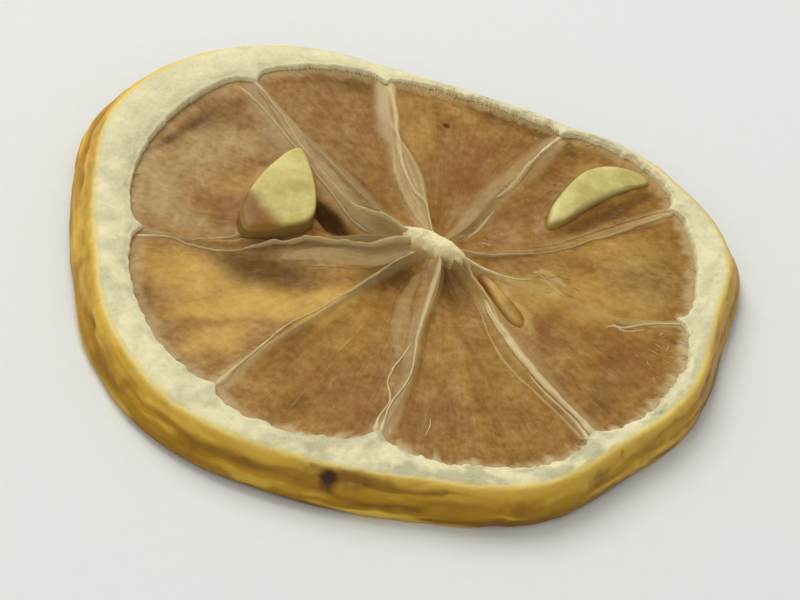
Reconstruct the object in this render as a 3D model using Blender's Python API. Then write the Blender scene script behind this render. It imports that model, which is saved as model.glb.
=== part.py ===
# Dried slice of lemon lying on its lower side: a ring of peel and pith round a thin sheet of
# shrunken flesh, nine membranes standing out from the sheet, a small core and three seeds.
# Lengths are in millimetres in this file and are turned into metres when a mesh is made.
# Bearings are in degrees, measured from the core, with 0 along +X and 90 along +Y.
import math

import bpy
import numpy as np

MM = 0.001
SEED = 41

# Outline of the peel's foot, as radii from the middle of the ring every 20 degrees from 0.
PEEL_RADII = [24.6, 26.4, 25.4, 22.9, 21.2, 22.6, 25.3, 26.6, 26.5, 24.8, 24.4, 25.9, 27.0, 26.1,
              25.4, 26.1, 24.7, 24.8]

# The core: where it stands, its half-lengths, its turn and its height.
CORE_AT = (2.1, 2.2)
CORE_LONG = 2.3
CORE_WIDE = 0.95
CORE_TURN = -8.0
CORE_TOP = 3.05
CORE_FOOT = 1.15

# Each membrane: bearing at the core, at one third, at two thirds and at the pith, then the
# radius from the core at which it meets the pith and the height by which it stands out.
MEMBRANES = [
    (-27.0, -18.0, -15.0, -6.5, 19.2, 0.30),
    (-3.0, 14.0, 24.0, 31.0, 20.0, 0.55),
    (45.0, 61.0, 63.0, 64.0, 17.8, 0.30),
    (112.0, 108.0, 114.0, 112.0, 17.0, 0.75),
    (165.0, 149.0, 143.0, 140.0, 21.6, 0.85),
    (186.0, 196.0, 198.0, 194.0, 22.3, 0.95),
    (229.0, 236.0, 237.0, 238.0, 24.6, 0.65),
    (290.0, 274.0, 271.5, 267.0, 21.9, 0.80),
    (322.0, 311.0, 310.0, 310.5, 21.5, 0.60),
]
# Each stretch of flesh after the membrane of the same place in the list: how far its edge
# bulges past the membranes' ends, how far the sheet is drawn down (or up), and how deep it
# is by the core.
FLESH = [
    (0.2, 0.25, 0.30),
    (0.9, -0.15, 0.35),
    (-1.3, 0.15, 0.45),
    (0.9, 0.10, 0.40),
    (0.9, -0.35, 1.10),
    (0.6, -0.20, 0.75),
    (1.9, -0.30, 0.80),
    (1.7, 0.05, 0.95),
    (1.2, 0.15, 0.55),
]
LOBE_SQUARE = 3.2
FLESH_THICK = 0.95
LEAST_CLEAR = 0.18
# Half the width of a membrane, its most as a share of the stretch beside it, how far the
# sheet beside it follows its height, how far it stands out below, how it sinks on the way out
# from the core, and the share of the radius over which it rises from the core.
MEMBRANE_HALF = 0.42
MEMBRANE_MOST = 0.3
MEMBRANE_FLANK = 0.3
MEMBRANE_BELOW = 0.45
MEMBRANE_SINK = 2.2
MEMBRANE_RISE = 0.12
# Shape of the sheet across a stretch, and where the hollow by the core is and how wide it is,
# as shares of the radius.
BELLY = 0.8
HOLLOW_AT = 0.13
HOLLOW_WIDE = 0.13

# The ring: height, drop of the flesh below its upper edge, peel thickness, and the distance
# that the peel leans out from its upper edge to its foot every 30 degrees from 0. The pith
# takes up what is left of the ring's width.
RING_HIGH = 3.3
FLESH_DROP = 0.95
PEEL_THICK = 0.8
PEEL_LEAN = [0.8, 1.0, 0.9, 0.8, 1.0, 1.2, 1.1, 1.4, 1.4, 0.9, 0.5, 0.5]
LEAST_PITH = 0.5
# The ring's section from the flesh's upper edge over the pith, down the peel and back under to
# the flesh's lower edge. Each point is a share of the pith, of the peel's thickness, of its
# lean and of the ring's height, then how far the pith's and the peel's unevenness show there.
RING_SECTION = [
    (0.05, 0.00, 0.00, 0.840, 0.2, 0.0),
    (0.24, 0.00, 0.00, 0.950, 0.8, 0.0),
    (0.60, 0.00, 0.00, 1.015, 1.0, 0.0),
    (1.00, 0.00, 0.00, 1.000, 0.8, 0.0),
    (1.00, 0.55, 0.00, 0.970, 0.4, 0.4),
    (1.00, 1.00, 0.00, 0.870, 0.0, 1.0),
    (1.00, 1.00, 0.45, 0.630, 0.0, 1.0),
    (1.00, 1.00, 0.86, 0.400, 0.0, 1.0),
    (1.00, 1.00, 1.00, 0.230, 0.0, 1.0),
    (1.00, 0.75, 1.00, 0.070, 0.0, 1.0),
    (1.00, 0.10, 1.00, 0.000, 0.0, 0.0),
    (0.90, 0.00, 0.00, -0.015, 0.0, 0.0),
    (0.24, 0.00, 0.00, 0.006, 0.0, 0.0),
    (0.04, 0.00, 0.00, 0.100, 0.0, 0.0),
]

# Warp of the dried ring every 30 degrees from 0: the lift of its underside, the share of its
# height that is left where it has shrunk, and the turn of its section, which rolls the upper
# face inward (positive) or outward (negative).
RING_LIFT = [0.10, 0.20, 0.35, 0.65, 0.70, 0.70, 0.15, 0.0, 0.25, 0.0, 0.0, 0.0]
RING_LEFT = [1.0, 0.97, 0.85, 0.80, 0.88, 0.98, 1.0, 1.0, 1.0, 1.0, 1.0, 1.0]
RING_TURN = [3.0, -3.0, -22.0, -30.0, -13.0, 3.0, 8.0, 4.0, -5.0, 3.0, 8.0, 5.0]
FLAT_SINK = 0.12

# Unevenness of the peel, the pith's face and the flesh: height, and length from crest to crest.
PEEL_WAVE = (0.14, 7.0)
PITH_WAVE = (0.16, 4.5)
FLESH_WAVE = (0.10, 5.0)
UNDER_WAVE = (0.10, 6.0)

# Seeds: the two tips in plan, the bulge to the left and to the right of the line from the
# first to the second, the lowest and the highest level, how flat the upper side is, and how
# pointed the first end is.
SEEDS = {
    "seed_left": ((-9.8, 0.0), (-9.0, 9.5), 2.5, 1.9, 1.05, 4.15, 5.0, 0.55),
    "seed_right": ((10.1, 8.4), (16.1, 15.6), 2.0, 1.3, 1.35, 4.05, 2.4, 1.15),
    "seed_low": ((5.9, 0.5), (10.1, -3.9), 1.25, 0.95, 0.95, 2.75, 2.0, 1.15),
}
SEED_GAP = 0.3
FAR_POINT = 1.15
SEED_WAIST = 0.46
# The sheet swells down below a seed: fully within the first distance from the seed's middle
# line, not at all beyond the second.
UNDER_SEED_IN = 2.4
UNDER_SEED_OUT = 4.6

COLUMNS_PER_FLESH = 10
FLESH_RINGS = 13
UNDER_RINGS = 8
CORE_RINGS = (0.45, 0.9)
CORE_DOME = 0.25
SEED_COLUMNS = 26
SEED_RINGS = 9
SHARP_ANGLE = 50.0

SLICE_COLOUR = (0.47, 0.27, 0.07, 1.0)
SEED_COLOURS = {
    "seed_left": (0.67, 0.55, 0.20, 1.0),
    "seed_right": (0.55, 0.49, 0.16, 1.0),
    "seed_low": (0.48, 0.24, 0.05, 1.0),
}
SLICE_ROUGHNESS = 0.55
SEED_ROUGHNESS = 0.5

for item in list(bpy.data.objects):
    bpy.data.objects.remove(item, do_unlink=True)


def round_curve(at, values, where):
    """Smooth closed curve through the values at the bearings, read at other bearings."""
    at = np.asarray(at, float)
    values = np.asarray(values, float)
    order = np.argsort(at)
    at, values = at[order], values[order]
    knots = np.concatenate([at[-2:] - 360.0, at, at[:2] + 360.0])
    heights = np.concatenate([values[-2:], values, values[:2]])
    slopes = np.gradient(heights, knots)
    where = at[0] + np.mod(np.asarray(where, float) - at[0], 360.0)
    k = np.clip(np.searchsorted(knots, where, side="right") - 1, 0, len(knots) - 2)
    span = knots[k + 1] - knots[k]
    s = (where - knots[k]) / span
    a, b = heights[k], heights[k + 1]
    ca, cb = slopes[k] * span, slopes[k + 1] * span
    return (
        a * (1 + 2 * s) * (1 - s) ** 2
        + ca * s * (1 - s) ** 2
        + b * s * s * (3 - 2 * s)
        + cb * s * s * (s - 1)
    )


def along_curve(values, v):
    """Smooth open curve through evenly spaced values, read at v from 0 to 1."""
    values = np.asarray(values, float)
    knots = np.linspace(0.0, 1.0, len(values))
    slopes = np.gradient(values, knots)
    k = np.clip(np.searchsorted(knots, v, side="right") - 1, 0, len(knots) - 2)
    span = knots[k + 1] - knots[k]
    s = (v - knots[k]) / span
    a, b = values[k], values[k + 1]
    ca, cb = slopes[k] * span, slopes[k + 1] * span
    return (
        a * (1 + 2 * s) * (1 - s) ** 2
        + ca * s * (1 - s) ** 2
        + b * s * s * (3 - 2 * s)
        + cb * s * s * (s - 1)
    )


def ramp(x, low, high):
    """Smooth step from 0 at low to 1 at high."""
    t = np.clip((x - low) / (high - low), 0.0, 1.0)
    return t * t * (3 - 2 * t)


class Waves:
    """Unevenness over the plan: a sum of seeded plane waves of about one height and length."""

    def __init__(self, rng, height, length, count=7):
        turn = rng.uniform(0.0, 2 * math.pi, count)
        pitch = 2 * math.pi / (length * rng.uniform(0.7, 1.5, count))
        self.kx = pitch * np.cos(turn)
        self.ky = pitch * np.sin(turn)
        self.phase = rng.uniform(0.0, 2 * math.pi, count)
        self.height = 1.6 * height / count

    def at(self, x, y):
        total = np.zeros_like(x)
        for kx, ky, phase in zip(self.kx, self.ky, self.phase):
            total = total + np.sin(kx * x + ky * y + phase)
        return total * self.height


def core_radius(bearing):
    """Radius of the core's oval at a bearing."""
    t = np.radians(bearing - CORE_TURN)
    return 1.0 / np.sqrt((np.cos(t) / CORE_LONG) ** 2 + (np.sin(t) / CORE_WIDE) ** 2)


def evenly(values, bearing):
    """Smooth closed curve through values evenly spaced round the ring, from bearing 0."""
    return round_curve(np.arange(len(values)) * 360.0 / len(values), values, bearing)


def peel_from_core(bearing):
    """Distance from the core to the peel's foot at a bearing."""
    around = np.arange(0.0, 360.0, 0.5)
    radius = evenly(PEEL_RADII, around)
    x = radius * np.cos(np.radians(around)) - CORE_AT[0]
    y = radius * np.sin(np.radians(around)) - CORE_AT[1]
    seen = np.degrees(np.arctan2(y, x)) % 360.0
    order = np.argsort(seen)
    return np.interp(bearing % 360.0, seen[order], np.hypot(x, y)[order], period=360.0)


def columns():
    """Membrane number and step across the flesh beyond it, for every column of the mesh."""
    number = np.repeat(np.arange(len(MEMBRANES)), COLUMNS_PER_FLESH)
    step = np.tile(np.arange(COLUMNS_PER_FLESH), len(MEMBRANES))
    return number, step


def flesh_grid(number, step, v):
    """Bearing, radius and share across its stretch of flesh, for each column at v from 0 to 1."""
    bend = np.array([along_curve(row[:4], v) for row in MEMBRANES])
    ends = np.array([row[4] for row in MEMBRANES])
    bulge = np.array([row[0] for row in FLESH])
    after = (number + 1) % len(MEMBRANES)
    first = bend[number]
    second = bend[after] + np.where(after == 0, 360.0, 0.0)
    arc = np.radians(second - first) * (1.0 + v * (ends[number] - 1.0))
    shoulder = np.clip(MEMBRANE_HALF / np.abs(arc), 0.0, MEMBRANE_MOST)
    inner = (step - 1) / (COLUMNS_PER_FLESH - 2)
    share = np.where(step == 0, 0.0, shoulder + (1 - 2 * shoulder) * inner)
    bearing = first + share * (second - first)
    lobe = bulge[number] * (1 - np.abs(2 * share - 1) ** LOBE_SQUARE)
    edge = ends[number] + share * (ends[after] - ends[number]) + lobe
    inside = core_radius(bearing)
    return bearing, inside + v * (edge - inside), share


def turned(s, z, width, lift, turn):
    """Turn a point of the ring's section about its middle, then lift it."""
    middle = 0.5 * RING_HIGH
    across = s - 0.5 * width
    rise = z - middle
    out = 0.5 * width + across * np.cos(turn) - rise * np.sin(turn)
    up = middle + rise * np.cos(turn) + across * np.sin(turn)
    return out, up + lift


def from_line(points, a, b):
    """Distance in plan from the line between two points."""
    a = np.array(a)
    along = np.array(b) - a
    share = np.clip((points[:, :2] - a) @ along / (along @ along), 0.0, 1.0)
    foot = a + share[:, None] * along
    return np.hypot(*(points[:, :2] - foot).T)


def place(bearing, radius, z):
    """Points at bearings and distances from the core, at the given heights."""
    x = CORE_AT[0] + radius * np.cos(np.radians(bearing))
    y = CORE_AT[1] + radius * np.sin(np.radians(bearing))
    return np.stack([x, y, z], axis=1)


def slice_rings():
    """Rings of points from the core's top, over the rim and back to the core's underside."""
    rng = np.random.default_rng(SEED)
    peel_wave = Waves(rng, *PEEL_WAVE)
    pith_wave = Waves(rng, *PITH_WAVE)
    flesh_wave = Waves(rng, *FLESH_WAVE)
    under_wave = Waves(rng, *UNDER_WAVE)
    number, step = columns()
    after = (number + 1) % len(MEMBRANES)
    height = np.array([row[5] for row in MEMBRANES])
    draw = np.array([row[1] for row in FLESH])[number]
    hollow = np.array([row[2] for row in FLESH])[number]
    crest = np.where(step == 0, height[number], 0.0)
    crest = np.where(step == 1, MEMBRANE_FLANK * height[number], crest)
    crest = np.where(step == COLUMNS_PER_FLESH - 1, MEMBRANE_FLANK * height[after], crest)

    edge_bearing, edge_radius, _ = flesh_grid(number, step, 1.0)
    width = peel_from_core(edge_bearing) - edge_radius
    lift = np.maximum(evenly(RING_LIFT, edge_bearing), 0.0)
    turn = np.radians(evenly(RING_TURN, edge_bearing))
    flesh_middle = RING_HIGH - FLESH_DROP - 0.5 * FLESH_THICK
    _, join = turned(0.0, flesh_middle, width, lift, turn)
    core_middle = 0.5 * (CORE_TOP + CORE_FOOT)

    def sheet(v):
        bearing, radius, share = flesh_grid(number, step, v)
        belly = np.sin(np.pi * np.clip(share, 0.0, 1.0)) ** BELLY
        level = core_middle + (join - core_middle) * ramp(v, -0.2, 1.1)
        level = level + draw * belly * math.sin(math.pi * v) ** BELLY
        level = level - hollow * belly * math.exp(-(((v - HOLLOW_AT) / HOLLOW_WIDE) ** 2))
        return bearing, radius, level, belly

    core_bearing, core_edge, _ = flesh_grid(number, step, 0.0)
    rings = []
    for share in CORE_RINGS:
        top = np.full(len(number), CORE_TOP - CORE_DOME * share)
        rings.append(place(core_bearing, core_edge * share, top))

    for v in np.linspace(0.0, 1.0, FLESH_RINGS + 1)[1:]:
        bearing, radius, level, belly = sheet(v)
        points = place(bearing, radius, level + 0.5 * FLESH_THICK)
        sink = 0.5 + 0.5 * math.cos(MEMBRANE_SINK * v)
        rise = 0.4 + 0.6 * ramp(v, 0.0, MEMBRANE_RISE)
        points[:, 2] += crest * sink * rise
        points[:, 2] += flesh_wave.at(points[:, 0], points[:, 1]) * belly
        rings.append(points)

    lean = evenly(PEEL_LEAN, edge_bearing)
    left = evenly(RING_LEFT, edge_bearing)
    pith = np.maximum(width - lean - PEEL_THICK, LEAST_PITH)
    lean = width - pith - PEEL_THICK
    for pith_share, peel_share, lean_share, high, pith_rough, peel_rough in RING_SECTION:
        s = pith_share * pith + peel_share * PEEL_THICK + lean_share * lean
        out, up = turned(s, high * left * RING_HIGH, width, lift, turn)
        points = place(edge_bearing, edge_radius + out, up)
        swell = peel_rough * peel_wave.at(points[:, 0] + 2 * up, points[:, 1])
        up = up + pith_rough * pith_wave.at(points[:, 0], points[:, 1])
        up = np.maximum(up - FLAT_SINK, 0.0)
        rings.append(place(edge_bearing, edge_radius + out + swell, up))

    for v in np.linspace(1.0, 0.0, UNDER_RINGS + 1)[1:-1]:
        bearing, radius, level, belly = sheet(v)
        points = place(bearing, radius, level - 0.5 * FLESH_THICK)
        points[:, 2] -= MEMBRANE_BELOW * crest
        points[:, 2] += under_wave.at(points[:, 0], points[:, 1]) * belly
        for seed in SEEDS.values():
            near = ramp(from_line(points, seed[0], seed[1]), UNDER_SEED_OUT, UNDER_SEED_IN)
            points[:, 2] += near * (LEAST_CLEAR - points[:, 2])
        points[:, 2] = np.maximum(points[:, 2], LEAST_CLEAR)
        rings.append(points)
    for share in reversed(CORE_RINGS):
        foot = np.full(len(number), CORE_FOOT)
        rings.append(place(core_bearing, core_edge * share, foot))
    return rings


def closed_mesh(name, rings, first, last, material):
    """Body through closed rings of equal count, ended by a point at each end."""
    count = len(rings[0])
    points = np.concatenate([[first]] + list(rings) + [[last]])
    end = 1 + count * (len(rings) - 1)
    faces = []
    for k in range(count):
        n = (k + 1) % count
        faces.append((0, 1 + k, 1 + n))
        faces.append((len(points) - 1, end + n, end + k))
    for j in range(len(rings) - 1):
        low = 1 + count * j
        for k in range(count):
            a, b = low + k, low + (k + 1) % count
            c, d = a + count, b + count
            if (j + k) % 2:
                faces.append((a, c, b))
                faces.append((b, c, d))
            else:
                faces.append((a, c, d))
                faces.append((a, d, b))
    mesh = bpy.data.meshes.new(name)
    mesh.from_pydata([tuple(p * MM) for p in points], [], faces)
    mesh.validate()
    mesh.shade_smooth()
    mesh.set_sharp_from_angle(angle=math.radians(SHARP_ANGLE))
    if material:
        mesh.materials.append(material)
    thing = bpy.data.objects.new(name, mesh)
    bpy.context.scene.collection.objects.link(thing)
    return thing


def seed_body(name, shape, grow, shift, material):
    """Seed with its tips on its own X axis: an oval domed below and more or less flat above."""
    a, b, left, right, low, high, flat, point = shape
    run = np.array(b) - np.array(a)
    half = 0.5 * np.hypot(*run) + grow
    t = np.linspace(0.0, 2 * math.pi, SEED_COLUMNS, endpoint=False)
    bulge = np.where(np.sin(t) > 0, left, right) + grow
    narrow = np.where(np.cos(t) < 0, point, FAR_POINT)
    x = half * np.cos(t)
    y = bulge * np.sign(np.sin(t)) * np.abs(np.sin(t)) ** narrow
    above = (1.0 - SEED_WAIST) * (high - low) + grow
    below = SEED_WAIST * (high - low) + grow
    rings = []
    for angle in np.linspace(0.5 * math.pi, -0.5 * math.pi, SEED_RINGS + 2)[1:-1]:
        level = math.sin(angle)
        power = flat if level > 0 else 2.0
        size = (1.0 - abs(level) ** power) ** (1.0 / power)
        z = np.full(len(t), level * (above if level > 0 else below))
        rings.append(np.column_stack([size * x, size * y, z]))
    thing = closed_mesh(name, rings, (0.0, 0.0, above), (0.0, 0.0, -below), material)
    middle = 0.5 * (np.array(a) + np.array(b)) - shift
    waist = low + SEED_WAIST * (high - low)
    thing.location = (middle[0] * MM, middle[1] * MM, waist * MM)
    thing.rotation_euler = (0.0, 0.0, math.atan2(run[1], run[0]))
    return thing


def surface(name, colour, roughness):
    """Matt coloured surface."""
    material = bpy.data.materials.new(name)
    material.use_nodes = True
    shader = material.node_tree.nodes["Principled BSDF"]
    shader.inputs["Base Color"].default_value = colour
    shader.inputs["Roughness"].default_value = roughness
    shader.inputs["Metallic"].default_value = 0.0
    return material


# The slice is moved so that the middle of its outline in plan is the origin.
rings = slice_rings()
plan = np.concatenate(rings)[:, :2]
shift = 0.5 * (plan.min(axis=0) + plan.max(axis=0))
for points in rings:
    points[:, :2] -= shift
core_x, core_y = np.array(CORE_AT) - shift
flesh_and_peel = surface("dried peel, pith and flesh", SLICE_COLOUR, SLICE_ROUGHNESS)
core_top = (core_x, core_y, CORE_TOP)
core_foot = (core_x, core_y, CORE_FOOT)
lemon = closed_mesh("slice", rings, core_top, core_foot, flesh_and_peel)

for name, shape in SEEDS.items():
    skin = surface(name + " skin", SEED_COLOURS[name], SEED_ROUGHNESS)
    seed_body(name, shape, 0.0, shift, skin)
    pocket = seed_body(name + "_pocket", shape, SEED_GAP, shift, None)
    pocket.hide_render = True
    pocket.display_type = "WIRE"
    cut = lemon.modifiers.new(name + "_pocket", "BOOLEAN")
    cut.operation = "DIFFERENCE"
    cut.object = pocket
    cut.solver = "EXACT"
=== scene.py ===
import math
from functools import partial
import bpy
import numpy as np
from mathutils import Matrix


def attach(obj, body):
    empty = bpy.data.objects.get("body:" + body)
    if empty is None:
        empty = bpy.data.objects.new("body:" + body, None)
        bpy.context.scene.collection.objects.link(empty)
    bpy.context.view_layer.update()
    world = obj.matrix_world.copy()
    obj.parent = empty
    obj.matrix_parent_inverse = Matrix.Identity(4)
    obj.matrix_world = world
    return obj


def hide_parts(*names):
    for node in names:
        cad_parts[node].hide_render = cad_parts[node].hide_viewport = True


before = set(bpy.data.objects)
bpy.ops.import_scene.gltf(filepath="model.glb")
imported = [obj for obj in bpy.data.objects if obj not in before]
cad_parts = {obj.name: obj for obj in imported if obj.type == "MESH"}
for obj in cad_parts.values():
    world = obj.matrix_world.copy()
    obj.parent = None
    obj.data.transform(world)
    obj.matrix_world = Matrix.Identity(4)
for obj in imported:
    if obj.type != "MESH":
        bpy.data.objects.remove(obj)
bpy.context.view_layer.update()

# Dried slice of lemon: ring of peel and pith, sheet of shrunken flesh, membranes, core, seeds.
# Lengths are in millimetres until a mesh is made. Bearings are in degrees round the core, 0
# along +X and 90 along +Y, which points away from the viewer.
mm = .001


# Linear colour of an sRGB hex code: ((c + 0.055) / 1.055) ** 2.4, or c / 12.92 when dark.
def linear(code):
    c = np.array([int(code[k:k + 2], 16) for k in (0, 2, 4)]) / 255.0
    c = np.where(c <= .04045, c / 12.92, ((c + .055) / 1.055) ** 2.4)
    return (*c.tolist(), 1.0)


# Gives sockets a value, a hex colour, or the output that feeds them.
def setSockets(node, sockets):
    for key, value in sockets.items():
        if isinstance(value, bpy.types.NodeSocket):
            node.id_data.links.new(value, node.inputs[key])
        else:
            node.inputs[key].default_value = linear(value) if isinstance(value, str) else value


# Adds one node and gives one of its outputs, by number or name. Inputs are listed in order, or
# named; stops are a ramp's (place, hex) pairs, and settings the node's own properties.
def addNode(tree, kind, inputs=(), stops=(), out=0, **settings):
    made = tree.nodes.new("ShaderNode" + kind)
    for name, value in settings.items():
        setattr(made, name, value)
    for k, (place, code) in enumerate(stops):
        element = made.color_ramp.elements[k] if k < 2 else made.color_ramp.elements.new(1.0)
        element.position = place
        element.color = linear(code)
    setSockets(made, inputs if isinstance(inputs, dict) else dict(enumerate(inputs)))
    return made.outputs[out]


# New material, with what adds nodes to it, its shader and the Object coordinates. Values that
# are the same all over are set on the shader.
def newMaterial(name, **values):
    made = bpy.data.materials.new(name)
    made.use_nodes = True
    shader = made.node_tree.nodes["Principled BSDF"]
    setSockets(shader, {key.replace("_", " "): value for key, value in values.items()})
    add = partial(addNode, made.node_tree)
    return made, add, shader, add("TexCoord", out="Object")


# 3t^2 - 2t^3 from 0 at low to 1 at high.
def ramp(x, low, high):
    t = np.clip((np.asarray(x, float) - low) / (high - low), 0.0, 1.0)
    return t * t * (3.0 - 2.0 * t)


# Arrays joined as the last axis of one.
def joined(*columns):
    return np.stack(np.broadcast_arrays(*columns), axis=-1)


# Smooth curve through evenly spaced values, read at t from 0 to 1: cubic pieces whose slopes
# come from the neighbours. A closed one is back at its first value at t = 1.
def curveThrough(values, t, closed=False):
    knots, t = np.asarray(values, float), np.asarray(t, float)
    if closed:
        place = np.mod(t, 1.0) * len(knots) + 2.0
        knots = np.concatenate([knots[-2:], knots, knots[:3]])
    else:
        place = np.clip(t, 0.0, 1.0) * (len(knots) - 1)
    slopes = np.gradient(knots)
    k = np.clip(np.floor(place).astype(int), 0, len(knots) - 2)
    s = place - k
    return (knots[k] * (1 + 2 * s) * (1 - s) ** 2 + slopes[k] * s * (1 - s) ** 2
            + knots[k + 1] * s * s * (3 - 2 * s) + slopes[k + 1] * s * s * (s - 1))


# Soft noise from -1 to 1: seeded values at whole numbers, joined by 6f^5 - 15f^4 + 10f^3. It
# repeats after `around` cells along x, so it closes on itself round the slice.
def softNoise(x, y, seed, around=None):
    x, y = np.broadcast_arrays(np.asarray(x, float), np.asarray(y, float))
    wide, high = around or 512, 256
    table = np.random.default_rng(seed).uniform(-1.0, 1.0, (wide, high))
    xi, yi = np.floor(x).astype(int), np.floor(y).astype(int)
    fx, fy = (f ** 3 * (f * (f * 6 - 15) + 10) for f in (x - xi, y - yi))
    a, b, c, d = (table[(xi + k) % wide, (yi + n) % high] for n in (0, 1) for k in (0, 1))
    return (a * (1 - fx) + b * fx) * (1 - fy) + (c * (1 - fx) + d * fx) * fy


# Sum of soft noise, each layer twice as fine and about half as strong.
def layeredNoise(x, y, seed, layers=3, around=None):
    total, strength, most = 0.0, 1.0, 0.0
    for k in range(layers):
        finer = 2 ** k
        total = total + strength * softNoise(x * finer, y * finer, seed + k, around and around * finer)
        most += strength
        strength *= .55
    return total / most


# The same in plan: the size of its cells, and where its grid starts.
def planNoise(x, y, cell, start, seed, layers=3):
    return layeredNoise(x / cell + start, y / cell + start, seed, layers)


# Closed surface on a grid of points (rows, columns, 3): the columns join round, the rows too
# when `shut` is true, and otherwise `ends` are the points that close the first and last row.
# The map grows by `span` over a whole turn. Faces point out: the sum of a . (b x c), six times
# the volume, is made positive.
def closedGrid(grid, uv, layers, shut=False, ends=None, span=(0.0, 0.0)):
    rows, cols = grid.shape[:2]
    r, c = np.divmod(np.arange((rows if shut else rows - 1) * cols), cols)
    rn, cn = (r + 1) % rows, (c + 1) % cols
    quads = np.stack([r * cols + c, rn * cols + c, rn * cols + cn, r * cols + cn], axis=1)
    points, flat = grid.reshape(-1, 3), np.broadcast_to(uv, (rows, cols, 2)).reshape(-1, 2)
    quadUv = flat[quads]
    quadUv[c == cols - 1, 2:4, 0] += span[0]
    values = {name: np.asarray(each, float).reshape(rows * cols, -1) for name, each in layers.items()}
    tris, triUv = np.zeros((0, 3), int), np.zeros((0, 3, 2))
    if shut:
        quadUv[r == rows - 1, 1:3, 1] += span[1]
    else:
        k, low, first = np.arange(cols), (rows - 1) * cols, len(points)
        kn = (k + 1) % cols
        tris = np.concatenate([joined(first, k, kn), joined(first + 1, low + kn, low + k)])
        triUv = np.concatenate([flat, flat[:1], flat[low:low + 1]])[tris]
        points = np.concatenate([points, np.asarray(ends, float)])
        values = {name: np.concatenate([v, v[:1], v[-1:]]) for name, v in values.items()}
    a, b, c, d = (points[quads[:, k]] for k in range(4))
    if np.sum(a * np.cross(b, c)) + np.sum(a * np.cross(c, d)) < 0:
        quads, quadUv, tris, triUv = (each[:, ::-1] for each in (quads, quadUv, tris, triUv))
    return dict(points=points, quads=quads, quadUv=quadUv, tris=tris, triUv=triUv, values=values)


# One mesh from closed surfaces, in metres.
def pieceFrom(name, parts, material):
    starts = np.cumsum([0] + [len(p["points"]) for p in parts])
    points = np.concatenate([p["points"] for p in parts]) * mm
    quads, tris = (np.concatenate([p[word] + n for p, n in zip(parts, starts)])
                   for word in ("quads", "tris"))
    corners = np.concatenate([p[word].reshape(-1, 2) for word in ("quadUv", "triUv") for p in parts])
    totals = np.repeat([4, 3], [len(quads), len(tris)])
    mesh = bpy.data.meshes.new(name)
    mesh.vertices.add(len(points))
    mesh.vertices.foreach_set("co", points.astype(np.float32).ravel())
    mesh.loops.add(int(totals.sum()))
    mesh.loops.foreach_set("vertex_index", np.concatenate([quads.ravel(), tris.ravel()]).astype(np.int32))
    mesh.polygons.add(len(totals))
    mesh.polygons.foreach_set("loop_start", (np.cumsum(totals) - totals).astype(np.int32))
    mesh.polygons.foreach_set("loop_total", totals.astype(np.int32))
    mesh.polygons.foreach_set("use_smooth", np.ones(len(totals), bool))
    mesh.update(calc_edges=True)
    mesh.uv_layers.new(name="along").data.foreach_set("uv", corners.astype(np.float32).ravel())
    for layer in parts[0]["values"]:
        values = np.concatenate([p["values"][layer] for p in parts])
        kind, word = ("FLOAT", "value") if values.shape[1] == 1 else ("FLOAT_COLOR", "color")
        made = mesh.attributes.new(layer, kind, "POINT")
        made.data.foreach_set(word, values.astype(np.float32).ravel())
    mesh.materials.append(material)
    piece = bpy.data.objects.new(name, mesh)
    bpy.context.scene.collection.objects.link(piece)
    print(name + ":", len(mesh.polygons), "faces")
    return piece


sliceForm = dict(
    middle=(.094, 1.728),  # middle of the ring in plan
    coreAt=(2.1, 2.2),  # core, from that middle
    coreLong=2.3, coreWide=.95, coreTurn=-8, coreTop=3.05, coreFoot=1.15,
    peelRadii=[24.6, 26.4, 25.4, 22.9, 21.2, 22.6, 25.3, 26.6, 26.5, 24.8, 24.4, 25.9, 27, 26.1,
               25.4, 26.1, 24.7, 24.8],
    ringHigh=3.3, fleshDrop=.95, peelThick=.7, leastPith=.5, fleshThick=.95,
    lean=[.8, 1, .9, .8, 1, 1.1, .8, .9, 1.2, .9, .5, .5],
    lift=[.1, .2, .35, .65, .7, .7, .15, 0, .25, 0, 0, 0],
    left=[1, .97, .85, .8, .88, .98, 1, 1, 1, 1, 1, 1],  # share of the height that is left
    turn=[3, -3, -22, -30, -13, 3, 8, 4, -5, 3, 8, 5],
    sink=.12,
    rimHigh=.8,  # height of the pith's inner edge, as a share of the ring's
    lobeSquare=2.7, ridgeSink=2.2,
)
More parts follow.
